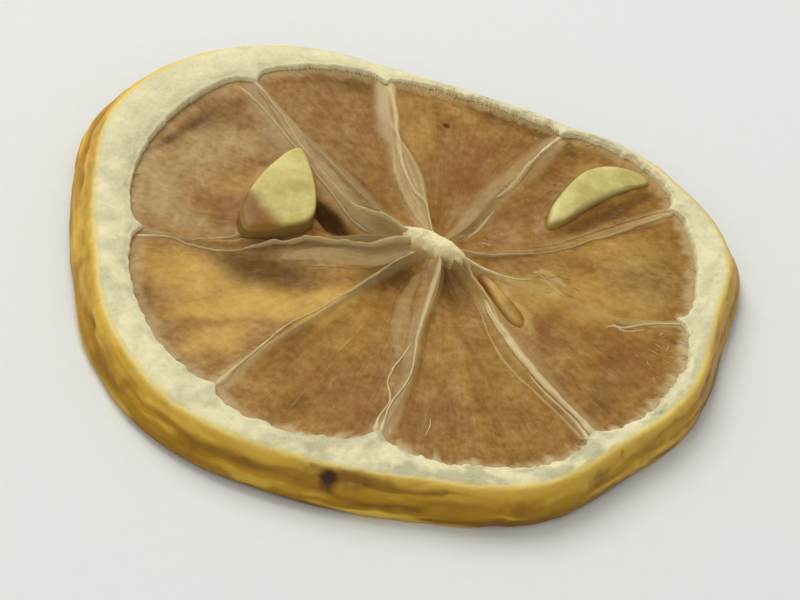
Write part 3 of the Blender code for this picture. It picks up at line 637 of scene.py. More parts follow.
# Strands of the membranes: route in plan, half widths and heights at even steps along it, how
# plain it shows, how creamy, how grey, and how many folds lie across it.
strands = dict(
    south_bright=([(2.9, 3.6), (2.8, 1.4), (2.6, -1.7), (2.4, -5), (2.4, -7.6), (2.5, -9.2)],
        (.42, .34, .27, .22, .17, .07), (.3, .34, .3, .22, .15, .05), .85, .52, .4, 1),
    south_right=([(2.4, -7), (2.5, -9.2), (2.5, -10.8), (2.2, -12.2), (1.6, -14), (1.4, -15.9),
        (1.2, -17.8)], (.06, .11, .13, .12, .13, .16, .35), (.08, .2, .26, .26, .26, .26, .2), .9, .65, 0,
        1),
    south_left=([(2.2, -6.6), (1.7, -8.8), (1.2, -10.4), (1, -12), (1.5, -13.9), (1, -15.6), (.9, -17.6)],
        (.05, .1, .12, .11, .13, .13, .35), (.05, .18, .24, .24, .26, .22, .2), .9, .7, 0, 1),
    south_sheet=([(1.7, 1.6), (1.1, -1.2), (1, -4.2), (1.2, -7), (1.5, -9.6)], (.25, .55, .8, .7, .25),
        (.03, .06, .08, .07, .02), .34, .22, .3, 2),
    south_edge=([(.6, .2), (.1, -3), (.2, -6), (.6, -8.6)], (.05, .08, .08, .05), (.03, .05, .05, .03), .18,
        .3, .2, 1),
    east_rope=([(3.4, 3.5), (4.8, 2.6), (5.8, 1), (6.8, -.9), (7.8, -2.9), (9.2, -5)],
        (.28, .24, .2, .2, .18, .08), (.25, .36, .38, .34, .26, .06), .75, .4, 0, 1),
    southEast_bright=([(6.3, -.6), (7.5, -2.7), (9.7, -5.7), (12.2, -8.5), (14.2, -10.4), (16.5, -12.6)],
        (.08, .28, .36, .34, .28, .5), (.08, .3, .34, .3, .26, .2), .92, .62, .5, 2),
    southEast_low=([(10.6, -7.5), (12.2, -9.3), (14.4, -11.3), (16.1, -13.2)], (.05, .13, .13, .4),
        (.05, .22, .22, .2), .85, .7, .1, 1),
    southEast_gold=([(5.6, -.2), (6.6, -2.6), (7.7, -5.2), (9.4, -7.6), (11.6, -9.6), (13.8, -11.6),
        (15.6, -13.3)], (.06, .12, .17, .2, .2, .18, .3), (.04, .15, .22, .24, .22, .18, .1), .75, .22, 0,
        1),
    eastNorth_line=([(3.6, 3.9), (5.1, 3.8), (6.8, 4.1), (9.8, 5.4), (11.7, 6.6), (13.5, 8.3), (15.4, 9.9),
        (17.7, 12.1), (19.7, 14.4)], (.16, .12, .11, .1, .1, .11, .12, .16, .45),
        (.2, .16, .15, .15, .15, .16, .2, .25, .2), .66, .5, .1, 1),
    eastNorth_far=([(8.4, 5.6), (11.2, 7.3), (13, 9), (15, 10.8), (17.3, 12.8), (19.2, 14.5)],
        (.05, .09, .09, .09, .11, .3), (.05, .12, .12, .12, .14, .15), .45, .4, .2, 1),
    east_near=([(3.8, 3.5), (4.9, 3.1), (6.2, 2.5), (7.4, 2.1), (8.6, 2.1), (10.2, 2.6)],
        (.22, .17, .14, .12, .1, .05), (.3, .28, .2, .18, .15, .06), .95, .8, 0, 1),
    east_frayA=([(9.6, 3), (10.5, 3.4), (11.4, 3), (12.5, 2.2)], (.1, .42, .4, .1), (0, .01, .01, 0), .32,
        .5, .2, 1),
    east_frayB=([(10.2, 2.5), (10.9, 2.5), (11.7, 1.9), (12.4, 1.4)], (.1, .26, .22, .08), (0, .01, .01, 0),
        .28, .5, .2, 1),
    east_far=([(15.6, -.9), (16.2, -.5), (17.2, -.3), (18.4, .5), (20.3, 1.3), (22.1, 1.9)],
        (.05, .12, .13, .12, .12, .3), (.05, .2, .2, .18, .18, .15), .95, .8, 0, 1),
    east_hook=([(16.1, -.1), (16.9, -.7), (17.6, -.6), (18.6, .1)], (.05, .09, .09, .05),
        (.05, .14, .14, .05), .9, .75, .1, 1),
    southWest_line=([(1, 3.1), (.3, 2.2), (-1, -.3), (-3.1, -3.8), (-4.8, -6.1), (-6.8, -8.7), (-8.1, -11.3),
        (-9.4, -14.2), (-11, -17.5)], (.24, .17, .13, .11, .11, .13, .15, .2, .6),
        (.25, .24, .22, .2, .2, .22, .24, .26, .2), .9, .55, 0, 1),
    west_lip=([(1.1, 3.9), (-.5, 3.5), (-2.6, 2.5), (-4.8, 1.75), (-7.3, .95), (-9.8, -.25), (-11.8, -1.4)],
        (.34, .24, .18, .15, .14, .13, .06), (.35, .5, .6, .7, .75, .55, .1), .95, .55, .6, 1),
    west_sheet=([(.3, 3), (-1.8, 1.5), (-4.2, .6), (-6.6, -.1), (-8.8, -1.2)], (.5, .85, 1.05, .85, .25),
        (.06, .12, .13, .1, .02), .62, .18, .8, 3),
    west_fold=([(-.3, 2), (-2.6, .2), (-4.9, -.8), (-7.2, -1.6)], (.06, .12, .12, .05), (.04, .1, .09, .03),
        .35, .3, .6, 1),
    west_far=([(-11.2, -1.1), (-13.2, -1.9), (-15.2, -2), (-17, -1.7), (-19.6, -2.3)],
        (.06, .12, .1, .11, .3), (.06, .2, .18, .16, .15), .8, .6, .2, 1),
    west_frill=([(-15.6, -1.7), (-14, -.9), (-12.4, 0), (-11.6, .1)], (.04, .1, .1, .04),
        (.04, .16, .16, .05), .8, .55, .3, 1),
    northWest_line=([(1.1, 4.6), (-.7, 4.9), (-3.1, 6), (-5.2, 7.1), (-7.4, 9.3), (-9.1, 11.2), (-11, 13.8),
        (-12.9, 16.1), (-14.7, 18.3)], (.36, .28, .2, .16, .13, .12, .12, .14, .4),
        (.35, .35, .3, .28, .26, .24, .24, .24, .2), .9, .5, .4, 1),
    northWest_band=([(.1, 4.5), (-1.8, 5.1), (-4.3, 6.4), (-6.6, 8.6), (-9, 11.4), (-11.6, 14.6),
        (-13.8, 17.2)], (.3, .6, .7, .65, .6, .5, .3), (.08, .2, .24, .22, .2, .18, .1), .7, .2, .6, 2),
    northWest_left=([(-1.9, 4.6), (-4.4, 5.6), (-6.9, 8), (-9.9, 11.4), (-12.5, 14.3), (-15.3, 16.9)],
        (.07, .13, .13, .12, .12, .25), (.08, .2, .2, .18, .18, .15), .75, .45, .6, 1),
    north_line=([(2.2, 4.5), (1.6, 5.6), (.9, 7.6), (-.2, 9.3), (-1.3, 11.3), (-2.1, 13.6), (-2.8, 16.4),
        (-3.5, 19.2), (-4, 21.3)], (.3, .2, .18, .2, .26, .32, .34, .4, .8),
        (.3, .3, .3, .28, .28, .28, .28, .3, .2), .8, .55, 0, 1),
    north_film=([(1.5, 5), (.2, 7.2), (-1, 9.2), (-2, 11.6), (-2.6, 13.8)], (.2, .4, .45, .35, .1),
        (.05, .16, .18, .14, .03), .6, .4, .35, 2),
    north_side=([(1.4, 5.2), (-.4, 7.8), (-1.8, 10.2)], (.05, .1, .05), (.04, .16, .05), .7, .5, .3, 1),
    northEast_near=([(4.4, 5.6), (5.3, 7.4), (6.1, 9.6)], (.08, .22, .06), (.04, .14, .04), .55, .5, .2, 1),
    northEast_mid=([(5.8, 10.4), (7, 12.6), (7.9, 15.2), (8.4, 16.6)], (.08, .26, .28, .1),
        (.05, .15, .15, .05), .7, .5, .3, 2),
    northEast_far=([(8, 15.6), (8.9, 17.6), (9.8, 19.6), (10.6, 21.4)], (.08, .22, .28, .5),
        (.05, .2, .24, .15), .92, .75, .1, 1),
    low_glint=([(4.5, -14.6), (4.6, -15.6), (4.4, -16.8)], (.04, .08, .04), (.04, .12, .04), .7, .7, 0, 1),
)
strandHigh = .5  # share of the heights above that shows
strandCream = 1.3  # the same of the creaminess


# Surface of one strand: a low ridge laid on the flesh along its route. Its height across is a
# raised cosine, or several when it is folded; it thins out at its ends, its borders take the
# flesh's own colour, and its underside lies in the flesh.
def strandPart(seed, route, halves, heights, show, cream, grey, folds):
    length = np.hypot(*np.diff(route, axis=0).T).sum()
    t = np.linspace(0.0, 1.0, 14 + int(8.5 * length))[:, None]
    way = t * length
    px, py = (curveThrough(corners, t) for corners in zip(*route))
    tx, ty = np.gradient(px, axis=0), np.gradient(py, axis=0)
    size = np.hypot(tx, ty)
    q = np.concatenate([np.linspace(-1, 1, 13), np.linspace(.75, -.75, 4)])[None, :]
    upper = np.arange(17)[None, :] < 13
    taper = .15 + .85 * ramp(t, 0, .1) * ramp(t, 1, .95)
    half = curveThrough(halves, t) * taper * (1 + .22 * layeredNoise(way / 1.1, 3.5, 340 + seed, 2))
    off = .09 * layeredNoise(way / 1.5 + 3, .5, 300 + seed) + half * q
    at = fleshTop(*locate(px - ty / size * off, py + tx / size * off))
    if folds == 1:
        fold = .5 + .5 * np.cos(math.pi * q)
    else:
        drift = 2.2 * softNoise(way / 5, .5, 380 + seed)
        fold = (1 - q ** 4) * (.76 + .24 * np.cos(math.pi * folds * q + drift))
    uneven = 1 + .3 * layeredNoise(way / .8, q + 4 * seed, 390 + seed, 2)
    rise = strandHigh * curveThrough(heights, t) * taper * fold * uneven + .04 * (1 - q * q) - .02
    fade = show * ramp(1 - np.abs(q), 0.0, .5) * (.55 + .45 * taper) * upper
    fade = fade * (1 + .12 * layeredNoise(way / .6, .5, 400 + seed, 2))
    film = np.clip(np.maximum(at["film"], fade), 0, 1)
    weight = np.clip(fade / np.maximum(film, .01), 0, 1)
    grid = joined(at["x"], at["y"], at["z"] + np.where(upper, rise, -.2))
    for word, own in (("cream", np.minimum(strandCream * cream * (.7 + .3 * fold), 1.0)),
                      ("grey", grey), ("folds", 1.3 * fold - .6)):
        at[word] = at[word] * (1 - weight) + weight * own
    at["film"] = film
    turn = np.unwrap(np.unwrap(np.radians(at["bearing"]), axis=0), axis=1)
    return closedGrid(grid, joined(turn * fleshForm["mapRadius"], at["radius"]), fleshLayers(at),
                      ends=(grid[0].mean(axis=0), grid[-1].mean(axis=0)))


parchment = fleshMaterial("dried lemon membrane, parchment over flesh", .52)
threads = [pieceFrom("membrane_" + name, [strandPart(k, *row)], parchment)
           for k, (name, row) in enumerate(strands.items())]

ringForm = dict(
    # section from the flesh's upper edge over the pith, down the peel and back under: share of
    # the pith, of the peel's thickness, of its lean and of the height, then steps to the next
    section=[(.05, 0, 0, .8, 10), (.2, 0, 0, .94, 14), (.55, 0, 0, 1.015, 14), (1, 0, 0, 1, 6),
             (1, .55, 0, .97, 6), (1, 1, .03, .87, 8), (1, 1, .45, .63, 7), (1, 1, .86, .4, 5),
             (1, 1, 1, .23, 4), (1, .75, 1, .07, 3), (1, .1, 1, 0, 2), (.9, 0, 0, -.015, 3),
             (.24, 0, 0, .006, 2), (.04, 0, 0, .1, 4)],
    columns=1060, spongeHigh=.055, broadHigh=.1, lumpHigh=.1, creaseHigh=.13, dentHigh=.05,
    raggedMm=.28, grooveBand=6, grooveDeep=.2, pitDeep=.22,
    # groove: sunk into the peel, and the brown laid along it is painted shade in it
    groove=[.1, 0, 0, 0, .2, .4, .6, .8, .6, .3, .35, .3],  # how plain, every 30 degrees
    mottledAndShaded=[.7, .5, .4, .4, .4, .4, .6, 1.1, 1, 2.1, 2.1, .9],  # how grey the pith is: its own grey mottles, and more at the front (270 to 300 degrees) as painted shade
    sunny=[.45, .6, .8, .6, .5, .55, .45, .35, .3, .2, .15, .3],  # how orange the peel is painted: painted light, most towards the back and least at the front
    spotAt=262.3, spotBand=5.6,  # blemish low on the front of the peel
    # brown stains: bearing, place down the section, half length in mm, how plain. The broad ones at
    # 184 and 207 degrees are painted shade on the left of the peel; the others are the peel's own stains
    stainsAndShade=[(150, 5.6, 1.6, .5), (184, 4.7, 7, .4), (207, 5.4, 5, .15), (203, 6.3, .8, .5),
            (242, 6.6, 1.2, .4), (229, 6.2, .5, .5), (306, 6.2, 1.2, .6), (311.6, 5.3, .22, 1),
            (318, 6.4, 1.8, .45), (292, 6.8, 2.2, .4), (24, 5.6, 1, .35)],
    around=160,  # whole turn of the ring's map, in millimetres
)


# Point grid of the ring and its layers: the section's corners are joined by smooth curves, set
# out from the flesh's edge and turned; then the ragged inner edge, the flares along the
# membranes, sponge on the pith, lumps, a groove and a pit on the peel, along the normals.
def ringSurface():
    f, peel = ringForm, sliceForm["peelThick"]
    *shares, steps = np.array(f["section"], float).T
    t = np.concatenate([(k + np.arange(n) / n) / len(steps) for k, n in enumerate(steps)])
    pithShare, peelShare, leanShare, high = (curveThrough(each, t, True)[:, None] for each in shares)
    pithShare, peelShare, leanShare = (np.clip(each, low, most) for each, low, most in (
        (pithShare, .02, 1.0), (peelShare, 0.0, 1.0), (leanShare, 0.0, 1.02)))
    band = (t * len(steps))[:, None]  # 0 inner edge, 3 end of the pith, 5 shoulder of the peel, 10 foot
    bearing = np.arange(f["columns"]) * 360.0 / f["columns"]
    width, lift, turn, left = ringFigures(bearing)
    reach = fleshReach(bearing)
    lean = curveThrough(sliceForm["lean"], bearing / 360.0, True)
    pith = np.maximum(width - lean - peel, sliceForm["leastPith"])
    lean = width - pith - peel
    arc = bearing * f["around"] / 360.0

    # noise on the ring's map, from the size of its cells along and up; it closes on itself
    def mapNoise(long, x, y, seed, layers):
        return layeredNoise(x / long, y, seed, layers, round(f["around"] / long))

    front, back = (np.cos(np.radians(bearing - at)) for at in (290, 85))
    torn = .4 + .9 * (ramp(front, .1, .9) + .6 * ramp(back, .6, .95))
    ragged = mapNoise(1.6, arc, .5, 201, 3) + .8 * mapNoise(.5, arc, .5, 205, 2)
    flare = np.zeros(f["columns"])
    for m in membranes:
        away = np.abs((bearing - m["bend"][3] + 180) % 360 - 180) * math.pi / 180 * reach
        flare = np.maximum(flare, m["flare"][0] * np.exp(-((away / m["flare"][1]) ** 1.2)))
    inner = np.clip(1 - pithShare / .8, 0, 1) ** 1.5 * (band < 8)
    s = pithShare * pith + peelShare * peel + leanShare * lean
    s = s + (f["raggedMm"] * torn * ragged - flare) * inner
    out, up = turned(s, high * left * sliceForm["ringHigh"], width, lift, turn)
    grid = joined(*planAt(bearing, reach + out), up - sliceForm["sink"] - .1 * flare * inner)
    lengths = np.linalg.norm(np.diff(grid, axis=0), axis=2).mean(axis=1)
    arcs, along = np.broadcast_arrays(arc, np.concatenate([[0.0], np.cumsum(lengths)])[:, None])
    normal = np.cross(np.roll(grid, -1, 0) - np.roll(grid, 1, 0), np.roll(grid, -1, 1) - np.roll(grid, 1, 1))
    normal /= np.linalg.norm(normal, axis=2, keepdims=True)
    onPith = ramp(band, 4.3, 3.3)
    onPeel = ramp(band, 3.9, 5.2) * ramp(band, 10.6, 9.6)
    sponge = mapNoise(.8, arcs, along / .6 + 5, 211, 3)
    broad = mapNoise(4.0, arcs, along / 2.4 + 5, 215, 2)
    lump = mapNoise(3.2, arcs, along / 1.6 + 9, 221, 3)
    dents = mapNoise(1.25, arcs, along / .7 + 9, 224, 2)
    creases = mapNoise(8.0, arcs + 2.4 * broad, along / .62 + .9 * lump, 251, 2)
    rough = .35 * mapNoise(.5, arcs, along / .5, 241, 3)
    mottle = mapNoise(1.6, arcs, along / 1.1 + 33, 231, 4)
    place = f["grooveBand"] + .6 * mapNoise(8.0, arc, .5, 226, 1) + .25 * mapNoise(2.0, arc, .5, 228, 1)
    plain, greyer, sunny = (curveThrough(f[word], bearing / 360, True)
                            for word in ("groove", "mottledAndShaded", "sunny"))
    groove = np.exp(-(((band - place) / .34) ** 2)) * np.maximum(plain, 0)
    groove = groove * (.7 + .5 * mapNoise(1.6, arcs, along, 229, 1))
    off, down = arcs - f["spotAt"] * f["around"] / 360, band - f["spotBand"]
    pit = ramp(np.hypot(off / .62, down / .95) + rough, 1.25, .5)
    stainAndShade = .85 * ramp(np.hypot((off - .9) / 3.2, (down + .5) / 1.2) + rough, 1.2, .2)
    for at, where, wide, much in f["stainsAndShade"]:
        away = np.hypot((arcs - at * f["around"] / 360) / wide, (band - where) / min(.9, .35 + wide))
        stainAndShade = np.maximum(stainAndShade, much * ramp(away + 2 * rough, 1.3, .2))
    relief = onPith * (f["spongeHigh"] * sponge + f["broadHigh"] * broad) - f["pitDeep"] * pit
    relief = relief + onPeel * (f["lumpHigh"] * lump + f["dentHigh"] * dents + f["creaseHigh"] * creases
                                - f["grooveDeep"] * groove)
    grid = grid + normal * relief[..., None]
    grid[..., 2] = np.maximum(grid[..., 2], 0.0)
    blots = np.clip(greyer * (.32 + .9 * mottle), 0, 1) * onPith
    tone = joined(.5 + .45 * creases + .12 * dents, blots, groove * onPeel, pit)
    layers = dict(band=band + 0 * arcs, tone=tone, sunny=sunny + 0 * arcs, stainAndShade=stainAndShade)
    return grid, closedGrid(grid, joined(arcs, along), layers, shut=True,
                            span=(f["around"], along.max() + .3))


ringFinish = dict(
    pith="ece1b4", pithGrey="b5af89", pithYellow="e8d48c", lip="efd682", edge="ebc560", gold="d6a93a",
    # bright is painted light on the creases' crests; brown is painted shade in their troughs and the groove,
    # and the stains' colour
    ochre="b98b1c", olive="9c7410", foot="82560d", orange="c58d1e", bright="e1b947",
    brown="72420d", blemish="4a2a14",
    poreMm=.55, spongeMm=.35, cloudMm=1.5,
    # colours down the section, from the inner edge to the underside, as shares of the way round.
    # The lip and edge are partly painted highlight on the peel's shoulder, and the darkening through
    # olive to foot down the side is partly painted shade where the peel turns under
    bands=[(0, "pith"), (.22, "pith"), (.26, "pithYellow"), (.285, "lip"), (.315, "edge"), (.385, "gold"),
           (.465, "ochre"), (.55, "olive"), (.64, "foot"), (.76, "foot"), (.8, "pithYellow"),
           (.84, "pithGrey")],
)


# Cut peel of a dried lemon: waxy golden skin with fine oil pores, satin; and cream pith, dry
# and spongy with grey mottles and pinholes, matt. The cut edge runs from one to the other.
def ringMaterial():
    f = ringFinish
    made, add, shader, place = newMaterial("dried lemon peel and pith, cut", IOR=1.45, Subsurface_Weight=.1,
                                           Subsurface_Scale=.0006, Subsurface_Radius=(1.0, .8, .4),
                                           Specular_IOR_Level=.25)
    band, sunny, stainAndShade = (add("Attribute", out="Fac", attribute_name=word)
                          for word in ("band", "sunny", "stainAndShade"))
    tone = add("Attribute", out="Color", attribute_name="tone")
    crease, blots, groove = add("SeparateColor", [tone]).node.outputs
    cloud = add("TexNoise", {"Vector": place, "Scale": 1000 / f["cloudMm"], "Detail": 5.0, "Roughness": .62})
    sponge = add("TexNoise", {"Vector": place, "Scale": 1000 / f["spongeMm"], "Detail": 3.0})
    pores = add("TexVoronoi", {"Vector": place.node.outputs["UV"], "Scale": 1 / f["poreMm"],
                               "Randomness": .9})
    # band with its borders frayed, as a share of the way round the section
    down = add("Math", [cloud, 1.5, -.75], operation="MULTIPLY_ADD")
    down = add("Math", [band, down], operation="ADD")
    down = add("Math", [down, len(ringForm["section"])], operation="DIVIDE")
    colour = add("ValToRGB", [down], [(at, f[word]) for at, word in f["bands"]])
    onSides, onPith, onPeel = (add("MapRange", [down, *row]) for row in (
        (.27, .36, 0.0, .8), (.19, .25, 1.0, 0.0), (.3, .4, 0.0, 1.0)))
    # painted light on the creases' crests and painted shade, brown, in their troughs, on the peel only
    pinhole = add("MapRange", [sponge, .4, .28, 0.0, .35])
    crestLight = add("MapRange", [crease, .52, .78, 0.0, .9])
    troughShade = add("MapRange", [crease, .43, .18, 0.0, .62])
    # the orange over the sides is painted light
    orange, pinhole, crestLight, troughShade = (add("Math", pair, operation="MULTIPLY") for pair in (
        [sunny, onSides], [pinhole, onPith], [crestLight, onPeel], [troughShade, onPeel]))
    greyed = add("Math", [blots, .75, pinhole], operation="MULTIPLY_ADD", use_clamp=True)
    # brown over the troughs and the groove is painted shade, and over the stains partly painted shade
    for amount, share, word in ((orange, 1.0, "orange"), (greyed, 1.0, "pithGrey"), (crestLight, 1.0, "bright"),
                                (troughShade, 1.0, "brown"), (stainAndShade, .8, "brown"), (groove, .6, "brown"),
                                (tone.node.outputs["Alpha"], 1.0, "blemish")):
        amount = add("Math", [amount, share], operation="MULTIPLY")
        colour = add("Mix", {0: amount, 6: colour, 7: f[word]}, **rgba)
    shade = add("MapRange", [cloud, .3, .7, .92, 1.06])
    colour = add("Mix", {0: 1.0, 6: colour, 7: shade}, **rgba, blend_type="MULTIPLY")
    rough = add("MapRange", [down, .25, .4, .85, .44])
    bump = None
    for source, strength, distance in ((pores, .22, .00012), (cloud, .5, .00018), (sponge, .55, .0001)):
        below = {"Normal": bump} if bump else {}
        bump = add("Bump", {"Height": source, "Strength": strength, "Distance": distance, **below})
    setSockets(shader, {"Base Color": colour, "Roughness": rough, "Normal": bump})
    return made


ringGrid, ringPart = ringSurface()
ring = pieceFrom("peel_and_pith", [ringPart], ringMaterial())

fibreForm = dict(
    rows=9, sides=6,
    fringe=240, fringeMm=(.25, 1.1), fringeThick=(.02, .05), farRimMm=.5, lean=44,
    scrapMm=(.25, .9), scrapThick=(.02, .035),
    # tufts of pale bits: place in plan, spread, how many
    tufts=[(19.2, -2.6, 1.3, 14), (11.2, 2.6, .7, 12), (7, 13, 1.6, 5), (19.6, 8.8, 1, 5),
           (-10.2, -16, .8, 4), (5.6, 4.9, .8, 4), (8.4, 18.6, 1.2, 8)],
)


# Closed tubes along paths (fibre, row, 3): a small circle carried along each, square to it and
# thinning as sin(pi t) ** 0.6, or from root to tip as (1 - t) ** 0.7.
def fibreParts(paths, thick, rooted, cream):
    rows, sides = paths.shape[1], fibreForm["sides"]
    tangent = np.gradient(paths, axis=1)
    tangent /= np.linalg.norm(tangent, axis=2, keepdims=True)
    side = np.cross(tangent, (0.0, 0.0, 1.0))
    side /= np.linalg.norm(side, axis=2, keepdims=True)
    rise = np.cross(side, tangent)
    t = np.linspace(0, 1, rows)
    girth = thick[:, None] * (.12 + .88 * ((1 - t) ** .7 if rooted else np.sin(np.pi * t) ** .6))
    phi = np.arange(sides) * 2 * math.pi / sides
    circle = np.cos(phi)[:, None] * side[:, :, None] + np.sin(phi)[:, None] * rise[:, :, None]
    tubes = paths[:, :, None] + girth[..., None, None] * circle
    uv = joined(phi * .1, t[:, None] * 2)
    none = np.zeros((rows, sides))
    parts = []
    for tube, path, shade in zip(tubes, paths, cream):
        layers = dict(streak=none, zone=joined(none, none, none, none), ruddy=none,
                      cover=joined(none + .95, shade, .15, .65))
        parts.append(closedGrid(tube, uv, layers, ends=(path[0], path[-1])))
    return parts


# Fibres laid on the flesh: from a start, along a heading, with a bow to one side; each point is
# kept just above the flesh, and `high` is where the first one starts.
def laidFibres(x, y, heading, length, bow, high=None):
    t = np.linspace(0, 1, fibreForm["rows"])[None, :]
    cx, cy = np.cos(heading)[:, None], np.sin(heading)[:, None]
    along, off = length[:, None] * t, bow[:, None] * np.sin(math.pi * .8 * t)
    px, py = x[:, None] + along * cx - off * cy, y[:, None] + along * cy + off * cx
    ground = fleshTop(*locate(px, py))["z"] + .03
    if high is None:
        return joined(px, py, ground - .02 + .04 * np.sin(math.pi * t) * length[:, None])
    return joined(px, py, np.maximum(ground, high[:, None] + .05 * t - .9 * t ** 2))


# Fringe of pale fibres torn from the pith's inner edge, thickest in front on the right and long
# at the far rim, and pale scraps of fibre lying on the flesh.
def fibresPiece():
    f = fibreForm
    random = np.random.default_rng(617)
    bearing = np.concatenate([random.uniform(low, high, f["fringe"] // 3)
                              for low, high in ((0, 360), (268, 345), (58, 138))])
    count = len(bearing)
    far = ramp(np.cos(np.radians(bearing - 95)), .6, .95)
    root = ringGrid[3, (bearing / 360 * ringForm["columns"]).astype(int)]
    length = random.uniform(*f["fringeMm"], count) * (.7 + far * f["farRimMm"])
    heading = np.radians(bearing + 180 + random.normal(0, f["lean"] * .5, count))
    x, y = root[:, 0] + .15 * np.cos(np.radians(bearing)), root[:, 1] + .15 * np.sin(np.radians(bearing))
    paths = laidFibres(x, y, heading, length + .15, .22 * random.normal(0, 1, count) * length,
                       root[:, 2] - .04)
    parts = fibreParts(paths, random.uniform(*f["fringeThick"], count), True, random.uniform(.6, .95, count))
    tufts = []
    for px, py, spread, count in f["tufts"]:
        bits = [random.normal(px, spread, count), random.normal(py, spread, count)]
        tufts.append(bits + [math.atan2(py - coreY, px - coreX) + random.normal(0, .7, count)])
    x, y, heading = np.concatenate(tufts, axis=1)
    free = np.min([seedAway(form, x, y) for form in seeds.values()], axis=0) > .5
    free &= locate(x, y)[2] < .95
    x, y, heading = x[free], y[free], heading[free]
    length = random.uniform(*f["scrapMm"], len(x))
    paths = laidFibres(x, y, heading, length, .12 * random.normal(0, 1, len(x)) * length)
    parts += fibreParts(paths, random.uniform(*f["scrapThick"], len(x)), False,
                        random.uniform(.35, .9, len(x)))
    return pieceFrom("fibres", parts, parchment)


fibres = fibresPiece()

coreForm = dict(columns=240, rows=80, underRows=6, long=3.2, wide=1.15, turn=-22, top=3.2, edge=1.5,
                armLong=4.8, armWide=.6, lumpHigh=.07, crumbHigh=.04, sunk=.2,
                arms=(.8, .6, .3, .8, 1, .85, .75, .8, .5),
                shade="997c46", cream="ddc88a", pale="efe2b2", spongeMm=2 / 3)


# Spongy cream pith of the core, dry and crumbly, matt.
def coreMaterial():
    f = coreForm
    made, add, shader, place = newMaterial("dried lemon core, spongy pith", **dried, Roughness=.8,
                                            Specular_IOR_Level=.25)
    high = add("Attribute", out="Fac", attribute_name="high")
    cloud = add("TexNoise", {"Vector": place, "Scale": 1000 / f["spongeMm"], "Detail": 5.0, "Roughness": .6})
    # by height: low on the dome and its skirt the colour turns to shade, which is painted shade; higher it
    # is cream, palest on top
    mixed = add("Math", [cloud, .55, high], operation="MULTIPLY_ADD")
    colour = add("ValToRGB", [mixed], [(.3, f["shade"]), (.55, f["cream"]), (.85, f["pale"])])
    bump = add("Bump", {"Height": cloud, "Strength": .6, "Distance": .00018})
    setSockets(shader, {"Base Color": colour, "Normal": bump})
    return made


# The core: a long dome, top - (top - edge) times a smooth step of the oval distance, and a low
# arm towards each membrane whose height falls with the distance and as exp(-(off / wide)^2).
# They are joined as the cube root of the sum of cubes above the edge, with lumps laid over.
def corePiece():
    f = coreForm
    bearing = np.arange(f["columns"]) * 360.0 / f["columns"]
    q = np.linspace(.02, 1.0, f["rows"])[:, None]
    radius = q * np.full(len(bearing), f["armLong"])
    x, y = planAt(bearing, radius)
    t = np.radians(bearing - f["turn"])
    oval = np.hypot(radius * np.cos(t) / f["long"], radius * np.sin(t) / f["wide"])
    dome = (f["top"] - f["edge"]) * ramp(oval + .06 * planNoise(x, y, .9, 3, 401), 1.55, .35)
    cubes = dome ** 3
    for m, much in zip(membranes, f["arms"]):
        line = curveThrough(m["bend"], radius / m["reach"])
        off = np.radians((bearing - line + 180) % 360 - 180) * radius
        arm = 1.2 * much * ramp(radius, f["armLong"] * (.6 + .4 * much), .9) * ramp(radius, .3, 1.3)
        cubes = cubes + np.where(np.abs(off) < 2, arm * np.exp(-((off / f["armWide"]) ** 2)), 0) ** 3
    lumps, crumbs = planNoise(x, y, .75, 11, 411), planNoise(x, y, .26, 7, 421, 2)
    rise = cubes ** (1 / 3)
    uneven = (f["lumpHigh"] * lumps + f["crumbHigh"] * crumbs) * np.clip(rise, 0, 1)
    z = f["edge"] + rise + uneven - .5 * q ** 6
    high = .08 + .46 * ramp(rise, .75, 1.55) + .12 * lumps + .08 * crumbs
    under = np.linspace(.95, .05, f["underRows"])[:, None]
    foot = sliceForm["coreFoot"] - f["sunk"]
    under = joined(*planAt(bearing, under * f["armLong"]), foot + .1 * under)
    grid = np.concatenate([joined(x, y, z), under])
    layers = dict(high=np.concatenate([high, np.zeros(under.shape[:2])]))
    ends = ((coreX, coreY, z[0].mean()), (coreX, coreY, foot))
    return pieceFrom("core", [closedGrid(grid, grid[..., :2], layers, ends=ends)], coreMaterial())


core = corePiece()

seedFinish = dict(
    seed_left=dict(deep="b8a85a", light="d8c97c", side="8e6a38", skin="885609", border="dcca72"),
    seed_right=dict(deep="bcae62", light="dace86", side="a8904a", skin="8c6a3a", border="dccf84"),
    seed_low=dict(deep="a67b2a", light="cba04e", side="80511a", skin="74440f", border="99702e"),
)


# Hard coat or cut kernel of a lemon seed: smooth pale yellow with the faintest grain, satin,
# with scraps of the brown inner skin.
def seedMaterial(name):
    f = seedFinish[name]
    made, add, shader, place = newMaterial(
        "lemon " + name.replace("_", " ") + ", dry and smooth", Roughness=.42, IOR=1.45,
        Subsurface_Weight=.12, Subsurface_Scale=.0008, Subsurface_Radius=(1.0, .8, .4),
        Specular_IOR_Level=.3)
    face = add("Attribute", out="Color", attribute_name="face")
    side, skin, border = add("SeparateColor", [face]).node.outputs
    cloud, grain = (add("TexNoise", {"Vector": place, "Scale": scale, "Detail": detail})
                    for scale, detail in ((450.0, 4.0), (2600.0, 3.0)))
    mixed = add("Math", [grain, .25, cloud], operation="MULTIPLY_ADD")
    colour = add("ValToRGB", [mixed], [(.48, f["deep"]), (.76, f["light"])])
    for amount, word in ((border, "border"), (side, "side"), (skin, "skin")):
        colour = add("Mix", {0: amount, 6: colour, 7: f[word]}, **rgba)
    bump = add("Bump", {"Height": grain, "Strength": .25, "Distance": .00006})
    setSockets(shader, {"Base Color": colour, "Normal": bump})
    return made


